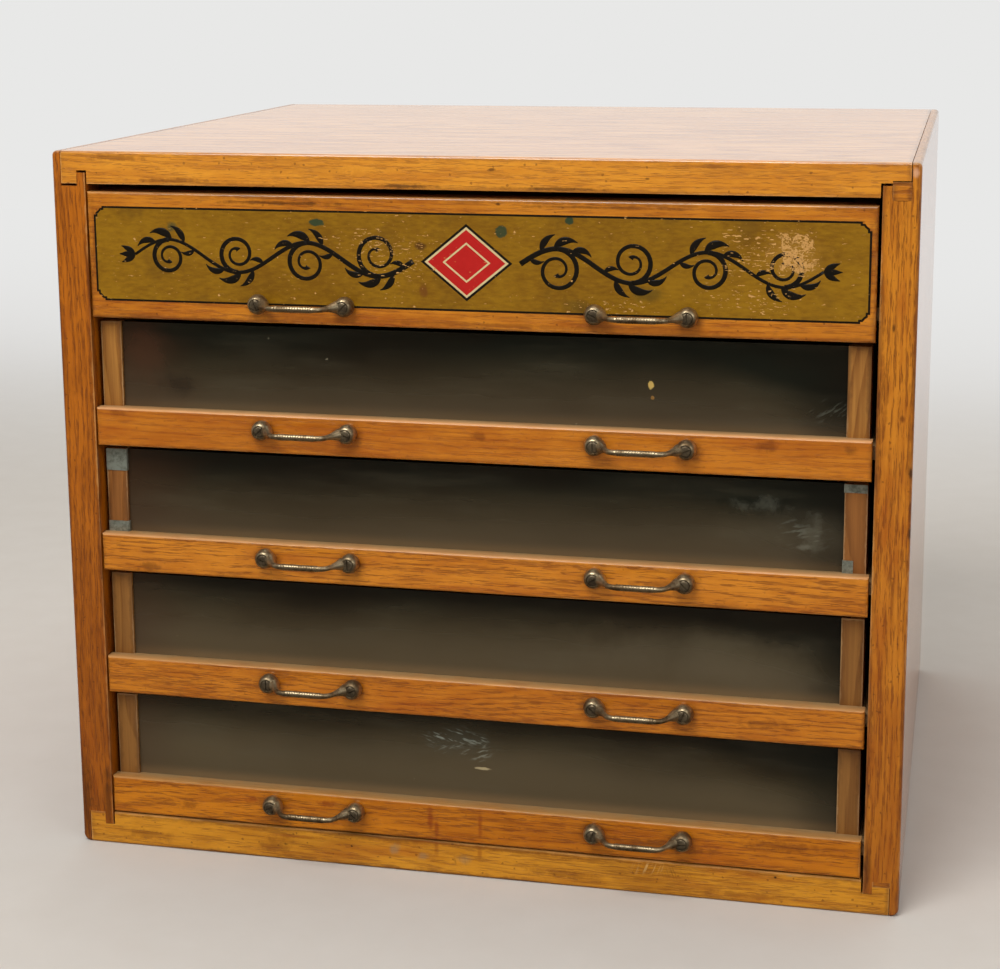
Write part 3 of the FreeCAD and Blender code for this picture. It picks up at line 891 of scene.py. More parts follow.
# %% [markdown]
# A drawer side shows its grain lengthwise on its face, but upright on the front end beside the
# glass, as the photograph has it. That end is also browner on the lower drawers. One function
# makes the wood of every plain piece, and turns the grain where it is asked to.

# %% Plain wood
def plain_wood(name, along, seed, light, dark, front_end=False, marks=()):
    """Dresses a piece in plain wood, whose grain may stand upright on its front end."""
    material, shader, place, normal = new_material("plain_" + name, {"Specular IOR Level": 0.3})
    board = turned(place, along)
    if front_end:
        ahead = ramp(parts(normal)[1], -0.8, -0.95)
        ends = {0: ahead, 4: board, 5: turned(place, ALONG_Z)}
        board = Value(add("Mix", ends, data_type="VECTOR").outputs[1])
    wood = use(plain_grain, {"Vector": board, "Seed": seed, "Light": light, "Dark": dark})
    color = marked(place, wood["Color"], marks)
    if front_end:
        # The front ends are darker towards the foot of the case.
        towards_foot = ramp(parts(place)[2], 0.36, 0.1, 0, 0.5) * ahead
        color = blend(towards_foot, color, colour(96, 60, 28))
    low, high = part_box(name)
    # Worn edges: a pale line that is partly a painted highlight, and a dark band that is partly painted
    # shade.
    worn = use(arris_wear_and_light, {
        "Vector": place, "Low": low, "High": high, "Width": 0.9 * mm, "Color": color,
        "Roughness": wood["Roughness"] + 0.22, "Rubbed And Highlight": colour(206, 168, 120), "Highlight And Rub": 0.5,
        "Grime And Shade": colour(74, 44, 20), "Dirt And Shade": 0.7})
    dusty = use(settled_dust, {
        "Vector": place, "Normal": normal, "Color": worn["Color"], "Roughness": worn["Roughness"],
        "Dust": DUST, "Amount": 0.35})
    wire(shader, dusty["Color"], dusty["Roughness"], wood["Height"], 0.2 * mm)
    dress(name, material)


print("plain wood ready")

# %% [markdown]
# The sides of one drawer are a redder wood, so it has colours of its own.

# %% Dress the drawer boxes
POST = (colour(180, 124, 54), colour(138, 86, 30))
OLD_POST = (colour(161, 102, 44), colour(126, 74, 26))
PALE = (colour(188, 150, 104), colour(154, 116, 74))
for number in range(1, 6):
    post = OLD_POST if number == 3 else POST
    for part, along, shades in (("side_left", ALONG_Y, post), ("side_right", ALONG_Y, post),
                                ("back", ALONG_X, PALE), ("bottom", ALONG_X, PALE)):
        plain_wood(f"drawer_{number}_{part}", along, number + 0.3, *shades, "side" in part)
    plain_wood(f"runners_{number}", ALONG_Y, number + 0.6, *PALE)
print("drawer boxes dressed")

# %% [markdown]
# The back is three rough boards that lap each other. Nobody varnished it, so it is the brownest
# plain wood. What gives it scale is the dark line of each lap and the nails at both ends, small
# round heads with rust run into the wood round them.

# %% The back of the case
nail_inset = 6.5
NAIL_PLACES = (0.14, 0.5, 0.86)


def nailed(low, high, seams):
    """Dark seams beside a back board, and rusty nail heads near both of its ends."""
    rear = high.y / mm
    marks = [((x, rear, 235), (1.0, 30, 400), colour(26, 18, 12), 0.9, 0.5, 150.0, 0.5)
             for x in seams]
    for share in NAIL_PLACES:
        x = (low.x + (high.x - low.x) * share) / mm
        for z in (low.z / mm + nail_inset, high.z / mm - nail_inset):
            marks.append(((x, rear, z), (6.0, 30, 9.0), colour(66, 40, 22), 0.55, 1.4, 150.0, 0.9))
            marks.append(((x, rear, z), (2.1, 30, 2.1), colour(48, 42, 38), 0.95, 0.3, 150.0, 0.2))
    return marks


left_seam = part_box("back_board_left")[1].x / mm
right_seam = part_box("back_board_middle")[1].x / mm
BACKS = {"left": ((154, 118, 80), (left_seam,)),
         "middle": ((142, 106, 68), (left_seam, right_seam)),
         "right": ((160, 122, 78), (right_seam,))}
for index, (side, (shade, seams)) in enumerate(BACKS.items()):
    name = "back_board_" + side
    dark = colour(*(v * 0.72 for v in shade))
    plain_wood(name, ALONG_Z, index * 7.3 + 20.0, colour(*shade), dark,
               marks=nailed(*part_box(name), seams))
print("back boards dressed")

# %% [markdown]
# ## Glass
#
# The panes are old, with a film of dust, and behind them the drawers are dark. A clear glass would show
# the empty drawer, so part of the light is stopped by the film: the pane transmits the rest, a little
# blurred. Its colour is painted. Near the top it is dark, a painted shade for the drawer's inside under
# the rail. Towards the foot it is lighter, partly a thicker film of dust and partly painted light from
# the lit bottom of the drawer and the floor mirrored in the glass. All four panes share the material, so
# the height above a pane's own foot is worked out first.

# %% Where the film and the painted light lie on the panes
pane_box = [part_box(f"drawer_{number}_glass") for number in range(2, 6)]
pane_step = pane_box[0][0].z - pane_box[1][0].z
pane_low = pane_box[3][0].z + 6 * mm
glass, shader, place, _ = new_material("hazy_glass", {
    "Metallic": 0.0, "Transmission Weight": 0.2, "IOR": 1.5})
x, _, z = parts(place)
rise = maths("MODULO", z - pane_low, pane_step)
cloud = streaks(place, (7, 7, 20))
drop = rise * (-1 / 0.061) + 1
shadow = ramp(rise * 0.9 + x, 0.17, 0.27, 0, 0.4)
uneven = drop + (cloud * 0.5 - 0.25) - shadow
# The lower panes carry a thicker and paler film.
lower_panes = ramp(z, 0.32, 0.06)
starts, ends = lower_panes * -0.3 + 0.24, lower_panes * -0.35 + 1.15
# The film is partly dust and partly painted light: the pane is painted lighter towards its foot.
film_and_light = ramp(clamped((uneven - starts) / (ends - starts)), -0.1, 1)
print("pane step:", round(pane_step, 5))

# %% [markdown]
# Where the film is thin, the pane shows a painted shade for the inside of the drawer. Where it is thick,
# it shows a warm haze, partly dust and partly painted light. A pale line of dust lies at the foot. The
# left end of a pane carries a painted reddish reflection of the wood and the right end a painted shade,
# so both ends differ from the middle.

# %% Colour of the film, with painted shade, light and reflection
# The dark is a painted shade for the inside of the drawer; the warm haze is partly dust and partly
# painted light.
drawer_shade = blend(ramp(cloud, 0.35, 0.65), colour(28, 24, 16), colour(24, 28, 21))
haze = blend(lower_panes, colour(88, 74, 51), colour(98, 84, 58))
tint = blend(film_and_light, drawer_shade, haze)
foot = ramp(drop, 0.86, 1.04) * (lower_panes * 0.5 + 0.35)
tint = blend(foot, tint, colour(150, 122, 84))
hand = streaks(place, (10, 1, 60), 4, 0.6)
tint = blend(ramp(hand, 0.45, 0.85, 0, 0.25), tint, colour(104, 98, 78))
# A painted reddish reflection of the wood on the left end of each pane, and a painted shade on its right
# end.
painted_wood_reflection = ramp(cloud * 0.1 + x, -0.12, -0.2)
tint = blend(painted_wood_reflection * 0.5, tint, colour(78, 52, 34))
painted_end_shade = ramp(cloud * 0.05 + x, 0.22, 0.26)
tint = blend(painted_end_shade * 0.5, tint, colour(18, 16, 11))
print("film nodes:", len(glass.node_tree.nodes))

# %% [markdown]
# Last come the single marks that the photograph shows: a yellow spot, hand smears, and the
# arcs of a cloth that wiped a few places half clean.

# %% Smears and spots on the panes
SMEAR = (132, 132, 116)
PANE_MARKS = [((x, 0, z), (wide, 900, high), colour(*shade), *rim) for x, z, wide, high, shade, *rim in (
    (-8, 88, 30, 12, (80, 84, 74), 0.35, 2.0, 60, 1.0),
    (4, 71, 7, 1.2, (206, 186, 140), 0.8, 1.4, 200, 0.5),
    (180, 257, 24, 6, SMEAR, 0.25, 3.0, 70, 1.0), (214, 240, 9, 16, SMEAR, 0.25, 3.0, 90, 1.0),
    (208, 232, 7, 2.4, SMEAR, 0.5, 2.4, 160, 0.7),
    (-222, 340, 24, 26, (92, 58, 40), 0.4, 2.0, 30, 1.0),
    (-196, 318, 20, 10, (28, 20, 16), 0.5, 2.0, 40, 1.0),
    (113.4, 330, 2.3, 3.5, (226, 190, 104), 0.95, 1.3, 240, 0.3),
    (114.4, 322, 1.3, 1.6, (170, 124, 60), 0.8, 1.3, 240, 0.3),
    (150, 155, 110, 30, (116, 104, 80), 0.4, 1.2, 25, 1.0),
    (210, 240, 70, 24, (104, 94, 74), 0.35, 1.2, 25, 1.0))]
tint = marked(place, tint, PANE_MARKS)
WIPED = [
    ((-14, 0, 90), (26, 900, 9), colour(170, 178, 164), 0.7, -18),
    ((-4, 0, 82), (24, 900, 8), colour(184, 188, 170), 0.7, 24),
    ((206, 0, 240), (22, 900, 12), colour(140, 144, 130), 0.4, 14),
    ((222, 0, 318), (18, 900, 12), colour(130, 134, 120), 0.35, 36)]
tint = scratched(place, tint, WIPED, 90, 500)
flecks = use(specks, {"Vector": place, "Scale": 34, "Reach": 0.03})["Mask"]
tint = blend(flecks * 0.5, tint, colour(176, 168, 140))
wire(shader, tint, ramp(film_and_light, 0, 1, 0.08, 0.35))
for number in range(2, 6):
    dress(f"drawer_{number}_glass", glass)
print("glass nodes:", len(glass.node_tree.nodes))

# %% [markdown]
# ## Metal
#
# The pulls were cast and plated with nickel, which has gone dull and brown in every hollow, and light
# metal shows only where fingers kept it bright. Here a noise decides which parts are dull and which are
# light. The screws are darker steel, and the small clips on one drawer are grey tinplate. One recipe
# with three sets of values does all.

# %% Node group and materials for old metal
def make_old_metal():
    given, finish = new_group(
        "old_metal",
        {"Vector": "v", "Scale": "f", "Bright": "c", "Dull": "c", "Tarnish": "f"},
        {"Color": "c", "Roughness": "f", "Height": "f"})
    fine = noise(given["Vector"], given["Scale"], 4, 0.7)
    coarse = noise(given["Vector"], given["Scale"] * 0.22, 3, 0.6)
    clean = ramp(fine * 0.45 + coarse * 0.55 - given["Tarnish"], -0.12, 0.1)
    return finish({"Color": blend(clean, given["Dull"], given["Bright"]),
                   "Roughness": ramp(clean, 0, 1, 0.5, 0.33), "Height": fine})


old_metal = make_old_metal()


def metal(name, metallic, scale, bright, dull, depth):
    material, shader, place, _ = new_material(name, {"Metallic": metallic})
    finish = use(old_metal, {"Vector": place, "Scale": scale, "Bright": bright, "Dull": dull,
                             "Tarnish": 0.5})
    wire(shader, finish["Color"], finish["Roughness"], finish["Height"], depth)
    return material


nickel = metal("aged_nickel", 0.95, 300, colour(194, 174, 138), colour(118, 96, 68), 0.08 * mm)
steel = metal("dark_steel", 0.8, 600, colour(142, 126, 100), colour(86, 72, 54), 0.1 * mm)
tin = metal("dull_tin", 0.5, 300, colour(162, 168, 154), colour(104, 106, 92), 0.05 * mm)
dress("drawer_3_glass_clips", tin)
print("metals ready")

# %% [markdown]
# ## The pulls
#
# A pull is one casting: two round bosses, and between them a bar that stands a finger's width
# off the wood, with a row of fine beads round its middle. A lathe shape suits the boss, so its
# outline is drawn as a chain of points and spun round the screw's axis. The bar is a chain of
# rings: each is a circle set square to the bar, and a bridge skins them. A boolean joins
# the three. One pull is made round the origin and copied to its ten places.

# %% A lathe
def start_point(name, place):
    """A mesh of one point, which is what is left of a plane merged at its middle."""
    bpy.ops.object.select_all(action="DESELECT")
    bpy.ops.mesh.primitive_plane_add(size=mm, location=(0, 0, 0))
    thing = named(name)
    edit(thing)
    bpy.ops.mesh.select_mode(type="VERT")
    bpy.ops.mesh.merge(type="CENTER")
    bpy.ops.mesh.select_all(action="SELECT")
    bpy.ops.transform.translate(value=place)
    return thing


def lathe(name, outline, steps):
    """Spins an outline of (radius, height) in mm round the Y axis. Heights grow towards -Y."""
    radius, height = outline[0]
    thing = start_point(name, (radius * mm, -height * mm, 0))
    for (r0, h0), (r1, h1) in zip(outline, outline[1:]):
        step = ((r1 - r0) * mm, -(h1 - h0) * mm, 0)
        bpy.ops.mesh.extrude_region_move(TRANSFORM_OT_translate={"value": step})
    bpy.ops.mesh.select_all(action="SELECT")
    bpy.ops.mesh.spin(steps=steps, angle=2 * math.pi, center=(0, 0, 0), axis=(0, 1, 0))
    bpy.ops.mesh.select_all(action="SELECT")
    bpy.ops.mesh.remove_doubles(threshold=0.02 * mm)
    bpy.ops.mesh.normals_make_consistent(inside=False)
    done()
    return thing


print("lathe ready")

# %% [markdown]
# Four more moves are needed: uniting or cutting with a second mesh, adding a block to cut with, making
# several pieces one, and copying a finished piece to its place. A copy keeps its place in its mesh, as
# the imported pieces do, so that its pattern stays put.

# %% Combine, block and copy
def combine(thing, other, operation):
    """Unites with, or cuts with, another closed mesh, which is used up."""
    only(thing)
    change = thing.modifiers.new("combine", "BOOLEAN")
    change.operation, change.object, change.solver = operation, other, "EXACT"
    bpy.ops.object.modifier_apply(modifier=change.name)
    bpy.data.objects.remove(other)


def block(name, size, middle):
    """A cube made to a size and set in its place, both in metres."""
    bpy.ops.object.select_all(action="DESELECT")
    bpy.ops.mesh.primitive_cube_add(size=1.0)
    thing = named(name)
    bpy.ops.transform.resize(value=size)
    bpy.ops.object.transform_apply(scale=True)
    thing.data.transform(Matrix.Translation(middle))
    return thing


def joined(things, name):
    """Several pieces as one, under its own name."""
    only(things[0])
    for other in things[1:]:
        other.select_set(True)
    bpy.ops.object.join()
    return named(name)


def copy_to(thing, name, place, turn=0.0):
    """A copy with its own mesh, turned round the Y axis and moved, with its place in its mesh."""
    only(thing)
    bpy.ops.object.duplicate(linked=False)
    made = named(name)
    made.data.transform(Matrix.Translation(Vector(place)) @ Matrix.Rotation(turn, 4, "Y"))
    return made


print("combining helpers ready")

# %% [markdown]
# The boss is domed, with a flat crown and a shallow well that takes the screw's head.

# %% One boss
boss_outline = [(0, 0), (5.3, 0), (6.0, 0.9), (6.3, 2.2), (6.35, 3.6), (6.15, 5.2), (5.7, 6.7),
                (5.0, 7.9), (4.3, 8.5), (3.85, 8.6), (3.6, 8.25), (3.5, 7.2), (0, 7.2)]
boss = lathe("boss", boss_outline, 40)
print("boss faces:", len(boss.data.polygons))

# %% [markdown]
# The bar rises from each boss on a slope, bends level and carries the beads. Its rings are
# listed once for the left half and mirrored, and the beads go between the halves.

# %% Rings of the bar
pitch, standoff = 57.15, 19.5
bead_pitch, bead_reach = 1.7, 11.9


def bar_rings():
    """Place, slope and radius of each ring, from the left boss to the right, in mm."""
    slope, bend = math.radians(60), 7.0
    root = -pitch / 2 + 3.0
    bend_height = standoff - bend * (1 - math.cos(slope))
    rise = bend_height - 3.6
    left = []
    for share, radius in ((0, 4.3), (0.14, 4.2), (0.3, 3.6), (0.48, 2.8), (0.7, 2.0), (0.9, 1.68)):
        left.append((root + share * rise / math.tan(slope), 3.6 + share * rise, slope, radius))
    bend_x = root + rise / math.tan(slope) + bend * math.sin(slope)
    for step in range(7):
        angle = slope * (1 - step / 6)
        left.append((bend_x - bend * math.sin(angle), standoff - bend * (1 - math.cos(angle)),
                     angle, 1.62 + 0.1 * step / 6))
    left.append((-bead_reach - 1.2, standoff, 0.0, 1.85))
    rings = left + [(-x, height, -angle, radius) for x, height, angle, radius in reversed(left)]
    x = -bead_reach
    beads = []
    while x < bead_reach - 0.1:
        for step, radius in ((0, 1.86), (0.35, 2.02), (bead_pitch / 2, 2.08), (bead_pitch - 0.35, 2.02)):
            beads.append((x + step, standoff, 0.0, radius))
        x += bead_pitch
    beads.append((x, standoff, 0.0, 1.86))
    return rings[:len(left)] + beads + rings[len(left):]


print("rings:", len(bar_rings()))

# %% [markdown]
# Bridging skins all the rings in one step. The two open ends are then filled, because a boolean
# needs a closed mesh.

# %% Skin the bar
def bridged(name, rings, corners):
    """A closed skin over rings of (x, height, slope, radius) in mm."""
    bpy.ops.object.select_all(action="DESELECT")
    for x, height, slope, radius in rings:
        bpy.ops.mesh.primitive_circle_add(
            vertices=corners, radius=radius * mm, location=(x * mm, -height * mm, 0),
            rotation=(0, math.pi / 2, -slope))
        if bpy.context.mode == "OBJECT":
            thing = named(name)
            bpy.ops.object.transform_apply(location=True, rotation=True)
            bpy.ops.object.mode_set(mode="EDIT")
    bpy.ops.mesh.select_all(action="SELECT")
    bpy.ops.mesh.bridge_edge_loops()
    bpy.ops.mesh.select_all(action="DESELECT")
    bpy.ops.mesh.select_non_manifold()
    bpy.ops.mesh.fill_holes(sides=0)
    bpy.ops.mesh.select_all(action="SELECT")
    bpy.ops.mesh.normals_make_consistent(inside=False)
    done()
    return thing


bar = bridged("bar", bar_rings(), 20)
print("bar faces:", len(bar.data.polygons))

# %% [markdown]
# The boss is joined to both ends of the bar, turned a little each time so that their facets differ. The
# CAD pull stays in the model, hidden, and the new piece stands for it. The CAD pull stays in the model
# for collision, and the new piece stands for it.

# %% Join one pull and copy it to its ten places
half_pitch = pitch / 2 * mm
for side in (-1, 1):
    combine(bar, copy_to(boss, "boss_copy", (side * half_pitch, 0, 0), side * 0.7), "UNION")
bpy.data.objects.remove(boss)
only(bar)
bpy.ops.object.shade_smooth_by_angle(angle=math.radians(50))


for number in range(1, 6):
    for side in ("left", "right"):
        cad_name = f"drawer_{number}_pull_{side}"
        pull = copy_to(bar, f"drawer_{number}_cast_pull_{side}", pull_place(cad_name))
        dress(pull, nickel)
        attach(pull, f"drawer_{number}")
        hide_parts(cad_name)
bpy.data.objects.remove(bar)
print("pull faces:", len(pull.data.polygons), "at", [round(v, 4) for v in pull_place(cad_name)])

# %% [markdown]
# ## The screws
#
# Each pull hangs on two slotted screws with raised heads. A head is turned on the same lathe,
# and a thin block cuts its slot. No two slots stand the same way, as nobody lined them up.

# %% Slotted screws
head_outline = [(0, 7.25), (3.4, 7.25), (3.48, 8.3), (3.3, 8.62), (2.9, 8.85), (2.1, 9.05),
                (1.1, 9.15), (0, 9.18)]
head = lathe("head", head_outline, 32)
slot_width, slot_depth, head_top = 0.8, 1.1, 9.2
cutter = block("cutter", (9 * mm, 2 * slot_depth * mm, slot_width * mm), (0, -head_top * mm, 0))
combine(head, cutter, "DIFFERENCE")
only(head)
bpy.ops.object.shade_smooth_by_angle(angle=math.radians(35))
for number in range(1, 6):
    heads = []
    for index, side in enumerate(("left", "right")):
        middle = pull_place(f"drawer_{number}_pull_{side}")
        for end in (-1, 1):
            spin = math.radians(67 * (2 * index + (end + 1) / 2 + number))
            place = middle + Vector((end * half_pitch, 0, 0))
            heads.append(copy_to(head, f"head_{number}_{index}_{end}", place, spin))
    screws = joined(heads, f"drawer_{number}_slotted_screws")
    dress(screws, steel)
    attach(screws, f"drawer_{number}")
    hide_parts(f"drawer_{number}_pull_screws")
bpy.data.objects.remove(head)
print("screw faces:", len(screws.data.polygons))

# %% [markdown]
# ## The sign panel
#
# The front of the top drawer carries a printed panel in dull gold with a black line round it,
# whose corners are notched by a quarter circle between two small steps. It is a thin sheet here:
# a flat block, a cylinder and two small blocks that cut each corner, and an inset that marks off
# the black line. It holds a plain running scroll in black and a red lozenge, both common
# ornaments.

# %% The panel and its border
sign_left, sign_right, sign_low, sign_high = -245.8, 245.4, 374.0, 435.0
sign_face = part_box("drawer_1_front")[0].y
sign_middle = Vector(((sign_left + sign_right) / 2 * mm, sign_face, (sign_low + sign_high) / 2 * mm))
sheet, border = 0.24, 1.3
notch_radius, notch_steps = 4.2, ((11.2, 2.6), (2.6, 11.2))
size = ((sign_right - sign_left) * mm, sheet * mm, (sign_high - sign_low) * mm)
sign = block("drawer_1_sign_panel", size, sign_middle)
for x in (sign_left, sign_right):
    for z in (sign_low, sign_high):
        bpy.ops.object.select_all(action="DESELECT")
        bpy.ops.mesh.primitive_cylinder_add(
            vertices=48, radius=notch_radius * mm, depth=4 * mm, location=(x * mm, sign_face, z * mm),
            rotation=(math.pi / 2, 0, 0))
        notch = named("notch")
        bpy.ops.object.transform_apply(location=True, rotation=True)
        combine(sign, notch, "DIFFERENCE")
        for wide, high in notch_steps:
            step = block("step", (wide * mm, 4 * mm, high * mm), (x * mm, sign_face, z * mm))
            combine(sign, step, "DIFFERENCE")
edit(sign)
pick(sign, "FACE", lambda middle, normal: normal.y < -0.9)
bpy.ops.mesh.dissolve_faces()
bpy.ops.mesh.inset(thickness=border * mm, depth=0, use_even_offset=True)
done()
print("sign faces:", len(sign.data.polygons))

# %% [markdown]
# The scroll is painted with curves. A curve's bevel gives each stroke a round section, whose
# width may differ from point to point, and the mesh made from it is then pressed flat.

# %% A painted stroke
def stroke(name, points):
    """A painted line through points of (x, z, width) in mm, measured from the panel's middle."""
    curve = bpy.data.curves.new(name, "CURVE")
    curve.dimensions, curve.bevel_depth, curve.bevel_resolution = "3D", 0.5 * mm, 2
    curve.use_fill_caps = True
    spline = curve.splines.new("POLY")
    spline.points.add(len(points) - 1)
    for point, (x, z, width) in zip(spline.points, points):
        point.co, point.radius = (x * mm, 0, z * mm, 1), width
    thing = bpy.data.objects.new(name, curve)
    bpy.context.scene.collection.objects.link(thing)
    only(thing)
    bpy.ops.object.convert(target="MESH")
    thing = named(name)
    thing.data.transform(Matrix.Translation(sign_middle + Vector((0, -0.12 * mm, 0)))
                         @ Matrix.Diagonal((1, 0.02, 1, 1)))
    return thing


print("brush ready")

# %% [markdown]
# The ornament has three motifs: a scroll that winds up, the vine that links the scrolls, and
# leaves that spring from the vine. Each is a list of points with a width, worked out by a
# formula, so the strokes swell and thin out as a brush's do.

# %% Scroll, vine and leaf
def spiral(x, z, radius, start, turns, hand):
    """A scroll that winds inwards and thins out, ending in a round eye."""
    steps = 48
    points = []
    for step in range(steps + 1):
        share = step / steps
        angle = start + hand * share * turns * 2 * math.pi
        reach = radius * (1 - share) ** 0.8 + 2.4 * share
        width = 3.2 - 1.9 * share + 2.4 * max(0.0, (share - 0.86) / 0.14) ** 2
        points.append((x + reach * math.cos(angle), z + reach * math.sin(angle), width))
    return points


def vine(first, last, waves, height, hand):
    """The stem that runs through the scrolls, thickest near the middle of the panel."""
    steps = 72
    points = []
    for step in range(steps + 1):
        share = step / steps
        z = hand * height * math.sin(waves * math.pi * share)
        points.append((first + (last - first) * share, z, 3.4 - 1.6 * share))
    return points


def leaf(x, z, length, heading, bend, width):
    """A leaf that leaves its stem at a heading, bends, swells and comes to a point."""
    steps = 14
    points = []
    for step in range(steps + 1):
        share = step / steps
        points.append((x, z, 0.5 + width * math.sin(math.pi * share ** 0.8) ** 1.3))
        angle = heading + bend * share
        x += length / steps * math.cos(angle)
        z += length / steps * math.sin(angle)
    return points

# %% [markdown]
# The vine runs out from the middle to both sides in four waves. Each wave holds one scroll, four
# leaves spring from its crest, and a bud of three leaves ends it.

# %% Lay out the ornament
strokes = []
lobes, wave, lift = 4, 46.0, 10.0
for hand in (-1, 1):
    first = hand * 34
    strokes.append(stroke("stem", vine(first, first + hand * lobes * wave, lobes, lift, hand)))
    for index in range(lobes):
        x = first + hand * wave * (index + 0.5)
        up = 1 if (index % 2 == 0) == (hand > 0) else -1
        radius = 13.5 - 0.8 * index
        strokes.append(stroke("scroll", spiral(
            x, up * (lift - radius), radius, up * math.pi / 2, 1.55, -up * hand)))
        for offset, length, heading, bend, width in (
                (-2, 17, 1.0, -1.6, 4.6), (-10, 15, 1.5, -1.3, 3.8), (9, 14, 0.5, -1.6, 3.6),
                (-17, 10, -0.9, 1.5, 2.8)):
            start_z = up * lift * math.sin(math.pi * (0.5 + offset / wave))
            turn_to = up * heading if hand > 0 else math.pi - up * heading
            strokes.append(stroke("leaf", leaf(
                x + hand * offset, start_z, length, turn_to, up * hand * bend, width)))
    tip = first + hand * lobes * wave
    for heading in (-0.7, 0.0, 0.7):
        turn_to = heading if hand > 0 else math.pi - heading
        strokes.append(stroke("bud", leaf(tip, 0, 11, turn_to, -0.6 * heading * hand, 3.4)))
ornament = joined(strokes, "drawer_1_sign_ornament")
edit(ornament)
bpy.ops.mesh.select_all(action="SELECT")
bpy.ops.mesh.remove_doubles(threshold=0.001 * mm)
bpy.ops.mesh.normals_make_consistent(inside=False)
done()
print("ornament faces:", len(ornament.data.polygons))

# %% [markdown]
# A cylinder with four sides is a lozenge once it is stretched. It stands a hair prouder than the
# sheet, and insets of its front face mark off the rings of colour.

# %% The lozenge
bpy.ops.object.select_all(action="DESELECT")
bpy.ops.mesh.primitive_cylinder_add(
    vertices=4, radius=1.0, depth=(sheet + 0.04) * mm, rotation=(math.pi / 2, 0, 0))
lozenge = named("drawer_1_sign_lozenge")
bpy.ops.object.transform_apply(rotation=True)
half_long, half_high = 29 * mm, 24 * mm
bpy.ops.transform.resize(value=(half_long, 1, half_high), center_override=(0, 0, 0))
bpy.ops.object.transform_apply(scale=True)
lozenge.data.transform(Matrix.Translation(sign_middle))
edit(lozenge)
pick(lozenge, "FACE", lambda middle, normal: normal.y < -0.9)
for width in (1.5, 1.3, 6.0, 1.1):
    bpy.ops.mesh.inset(thickness=width * mm, depth=0)
done()
print("lozenge faces:", len(lozenge.data.polygons))

# %% [markdown]
# ## Finishes of the panel
#
# The gold is a bronze-coloured ink on a pale ground. It has darkened in clouds, tiny specks of
# bare ground show all over, and towards the right a patch has flaked badly. Spots of
# green have been splashed on it. Black and red ink flake in the same places, so the flaking is
# one group that all of them use. It starts from zones, each a rounded or a square patch of the
# panel in which the print holds less well.

# %% Zones of weak print
def zone(place, rim, x, z, wide, high, ragged, softness):
    """A rounded zone round a place on the panel, all in mm."""
    return spot(place, rim, (x, sign_face / mm, z), (wide, 1000, high), ragged, softness)


def patch(place, rim, x, z, wide, high):
    """A zone with straight sides, as where a label was pulled off."""
    from_x, _, from_z = parts(place)
    from_x = maths("ABSOLUTE", from_x - x * mm) / (wide * mm)
    from_z = maths("ABSOLUTE", from_z - z * mm) / (high * mm)
    return ramp(rim * 0.7 + maths("MAXIMUM", from_x, from_z), 1.4, 0.9)


print("zones ready")

# %% [markdown]
# The print comes off where a fine noise passes a limit, and the limit is lower in the weak
# zones. Two more kinds of loss are laid over that: short level scratches, and single specks.

# %% Node group: flaking print
def make_flaking():
    given, finish = new_group(
        "flaking_print", {"Vector": "v", "Color": "c"}, {"Color": "c", "Bare": "f"})
    place = given["Vector"]
    rim = noise(place, 70, 4, 0.7)
    chips = noise(place, 520, 4, 0.75)
    blots = noise(place, 170, 3, 0.7)
    worst = patch(place, rim, 202, 414, 14, 15)
    weak = patch(place, rim, 184, 415, 34, 18)
    for weaker in ((180, 386, 44, 13, 1.2, 0.7), (-58, 416, 46, 18, 1.2, 0.8),
                   (88, 380, 34, 9, 1.4, 0.8)):
        weak = maths("MAXIMUM", weak, zone(place, rim, *weaker))
    limit = 0.665 - worst * 0.115 - weak * 0.075
    chipped = clamped((chips * 0.6 + blots * 0.4 - limit) * 40)
    scuffed = maths("MAXIMUM", weak, zone(place, rim, -44, 408, 34, 32, 1.2, 0.9))
    hatched = scuffed * 0.1 + streaks(place, (260, 1, 900), 2, 0.6)
    scattered = use(specks, {"Vector": place, "Scale": 70, "Reach": 0.055})["Mask"]
    bare = maths("MAXIMUM", chipped, ramp(hatched, 0.7, 0.74))
    bare = maths("MAXIMUM", bare, scattered)
    ground = blend(blots, colour(222, 172, 104), colour(188, 134, 64))
    return finish({"Color": blend(bare, given["Color"], ground), "Bare": bare})


flaking = make_flaking()

# %% [markdown]
# An ink is a sound colour, which differs from ink to ink, under the same flaking. A bare place
# lies a little lower than the print and shines less.

# %% A flaking ink
def print_ink(name, color_of, roughness):
    """A flaking ink. color_of makes the sound ink's colour out of the place."""
    material, shader, place, _ = new_material(name, {
        "Coat Weight": 0.15, "Coat Roughness": 0.3, "Specular IOR Level": 0.2})
    worn = use(flaking, {"Vector": place, "Color": color_of(place)})
    bare = worn["Bare"]
    wire(shader, worn["Color"], bare * 0.3 + roughness, bare * -1, 0.1 * mm)
    return material


print("inks can be mixed")

# %% [markdown]
# The gold has the most to tell: slow clouds, fine brush lines, grime, green splashes and brown
# stains. Black, red and cream are each two near tones mixed by noise.

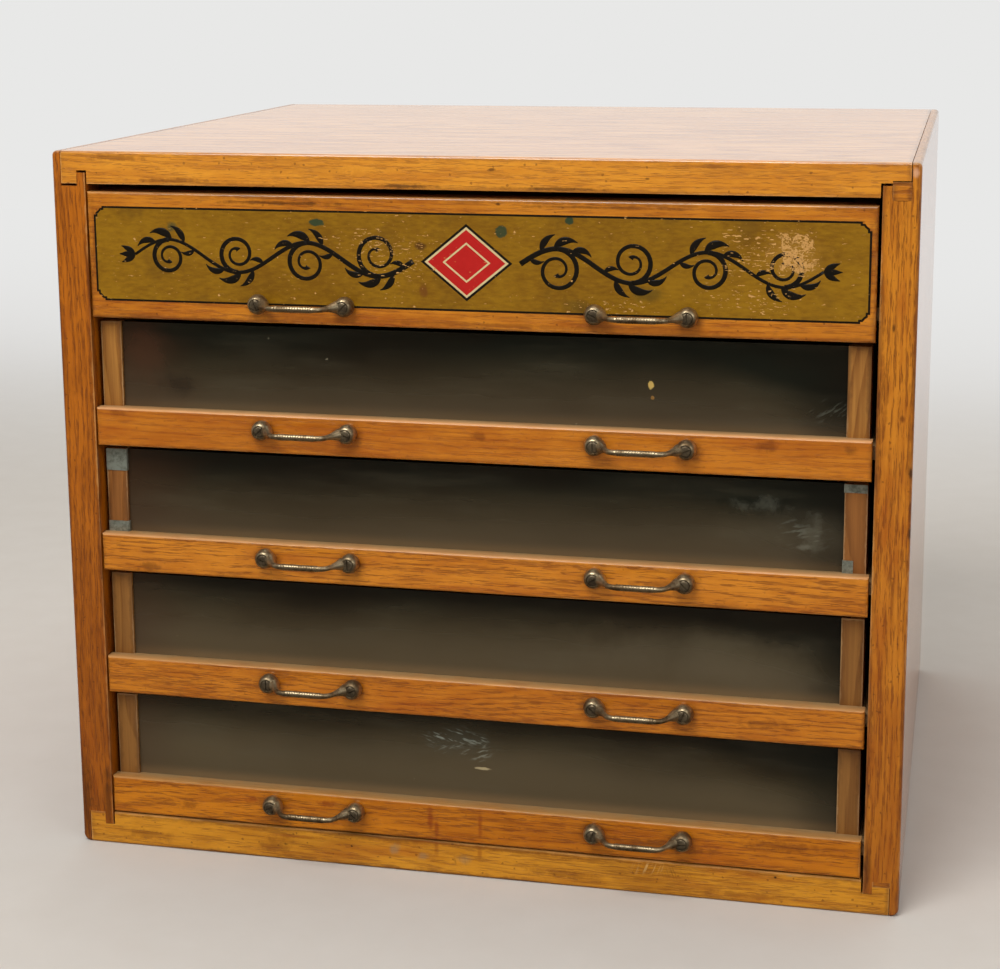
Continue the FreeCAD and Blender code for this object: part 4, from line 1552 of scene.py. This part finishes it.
# %% The four inks
TEAL = (20, 64, 46)
GOLD_MARKS = [
    ((x, -234.6, z), (wide, 500, high), colour(*shade), *rim) for x, z, wide, high, shade, *rim in (
        (-96.7, 427.4, 6, 2.6, TEAL, 0.85, 1.2, 160, 0.3),
        (64.1, 432, 3, 2.6, TEAL, 0.85, 1.2, 160, 0.3),
        (-193.2, 422.6, 4, 4, TEAL, 0.55, 1.6, 160, 0.6), (22, 424, 4, 4, TEAL, 0.8, 1.2, 160, 0.3),
        (-30, 414, 5, 3, (70, 34, 16), 0.7, 1.4, 120, 0.5),
        (-28, 386.4, 4, 5, (104, 44, 22), 0.5, 1.4, 120, 0.6),
        (112, 388, 14, 7, (72, 62, 20), 0.5, 1.5, 60, 0.8),
        (70, 380, 12, 6, (78, 62, 18), 0.45, 1.5, 60, 0.8),
        (200, 412, 24, 20, (178, 128, 44), 0.45, 1.2, 60, 0.7))]


def gold_ink(place):
    cloud = streaks(place, (12, 1, 26), 4, 0.6)
    fine = streaks(place, (160, 1, 520), 4, 0.7)
    gold = blend(ramp(cloud * 0.5 + fine * 0.5, 0.34, 0.66), colour(126, 84, 2), colour(156, 112, 8))
    grimy = ramp(noise(place, 26, 4, 0.65), 0.52, 0.72, 0, 0.5)
    return marked(place, blend(grimy, gold, colour(98, 66, 12)), GOLD_MARKS)


def two_tone(scale, first, second):
    """The colour of a plain ink, as a function of the place."""
    return lambda place: blend(noise(place, scale), colour(*first), colour(*second))


gold = print_ink("gold_ink", gold_ink, 0.42)
black = print_ink("black_ink", two_tone(200, (16, 12, 6), (30, 23, 12)), 0.4)
red = print_ink("red_ink", two_tone(160, (178, 22, 20), (200, 34, 28)), 0.4)
cream = print_ink("cream_ink", two_tone(160, (206, 182, 130), (222, 200, 150)), 0.45)
print("inks:", [ink.name for ink in (gold, black, red, cream)])

# %% [markdown]
# The panel and the lozenge carry more than one ink, so each of their faces is given its own.
# The black line is every front face of the panel but the largest one, and the lozenge's rings
# are told apart by how far they reach from its middle.

# %% Put the inks on the panel
def ink_faces(thing, materials, choose):
    """Gives each face of a piece the index of its ink."""
    dress(thing, *materials)
    for face in thing.data.polygons:
        face.material_index = choose(face)
    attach(thing, "drawer_1")


panel_area = max(face.area for face in sign.data.polygons if face.normal.y < -0.9)
ink_faces(sign, (gold, black),
          lambda face: 0 if face.normal.y > -0.9 or face.area == panel_area else 1)
ink_faces(ornament, (black,), lambda face: 0)
LOZENGE_RINGS = ((27.5, 0), (25.5, 1), (23.0, 2), (14.0, 1), (0.0, 2))


def lozenge_ink(face):
    """Black outside, then cream, red, cream and red in the middle, by distance from the middle."""
    if face.normal.y > -0.9:
        return 0
    reach = max(abs(lozenge.data.vertices[i].co.x - sign_middle.x) for i in face.vertices) / mm
    return next(ink for limit, ink in LOZENGE_RINGS if reach > limit)


ink_faces(lozenge, (black, cream, red), lozenge_ink)
print("lozenge's inks:", [slot.material.name for slot in lozenge.material_slots])
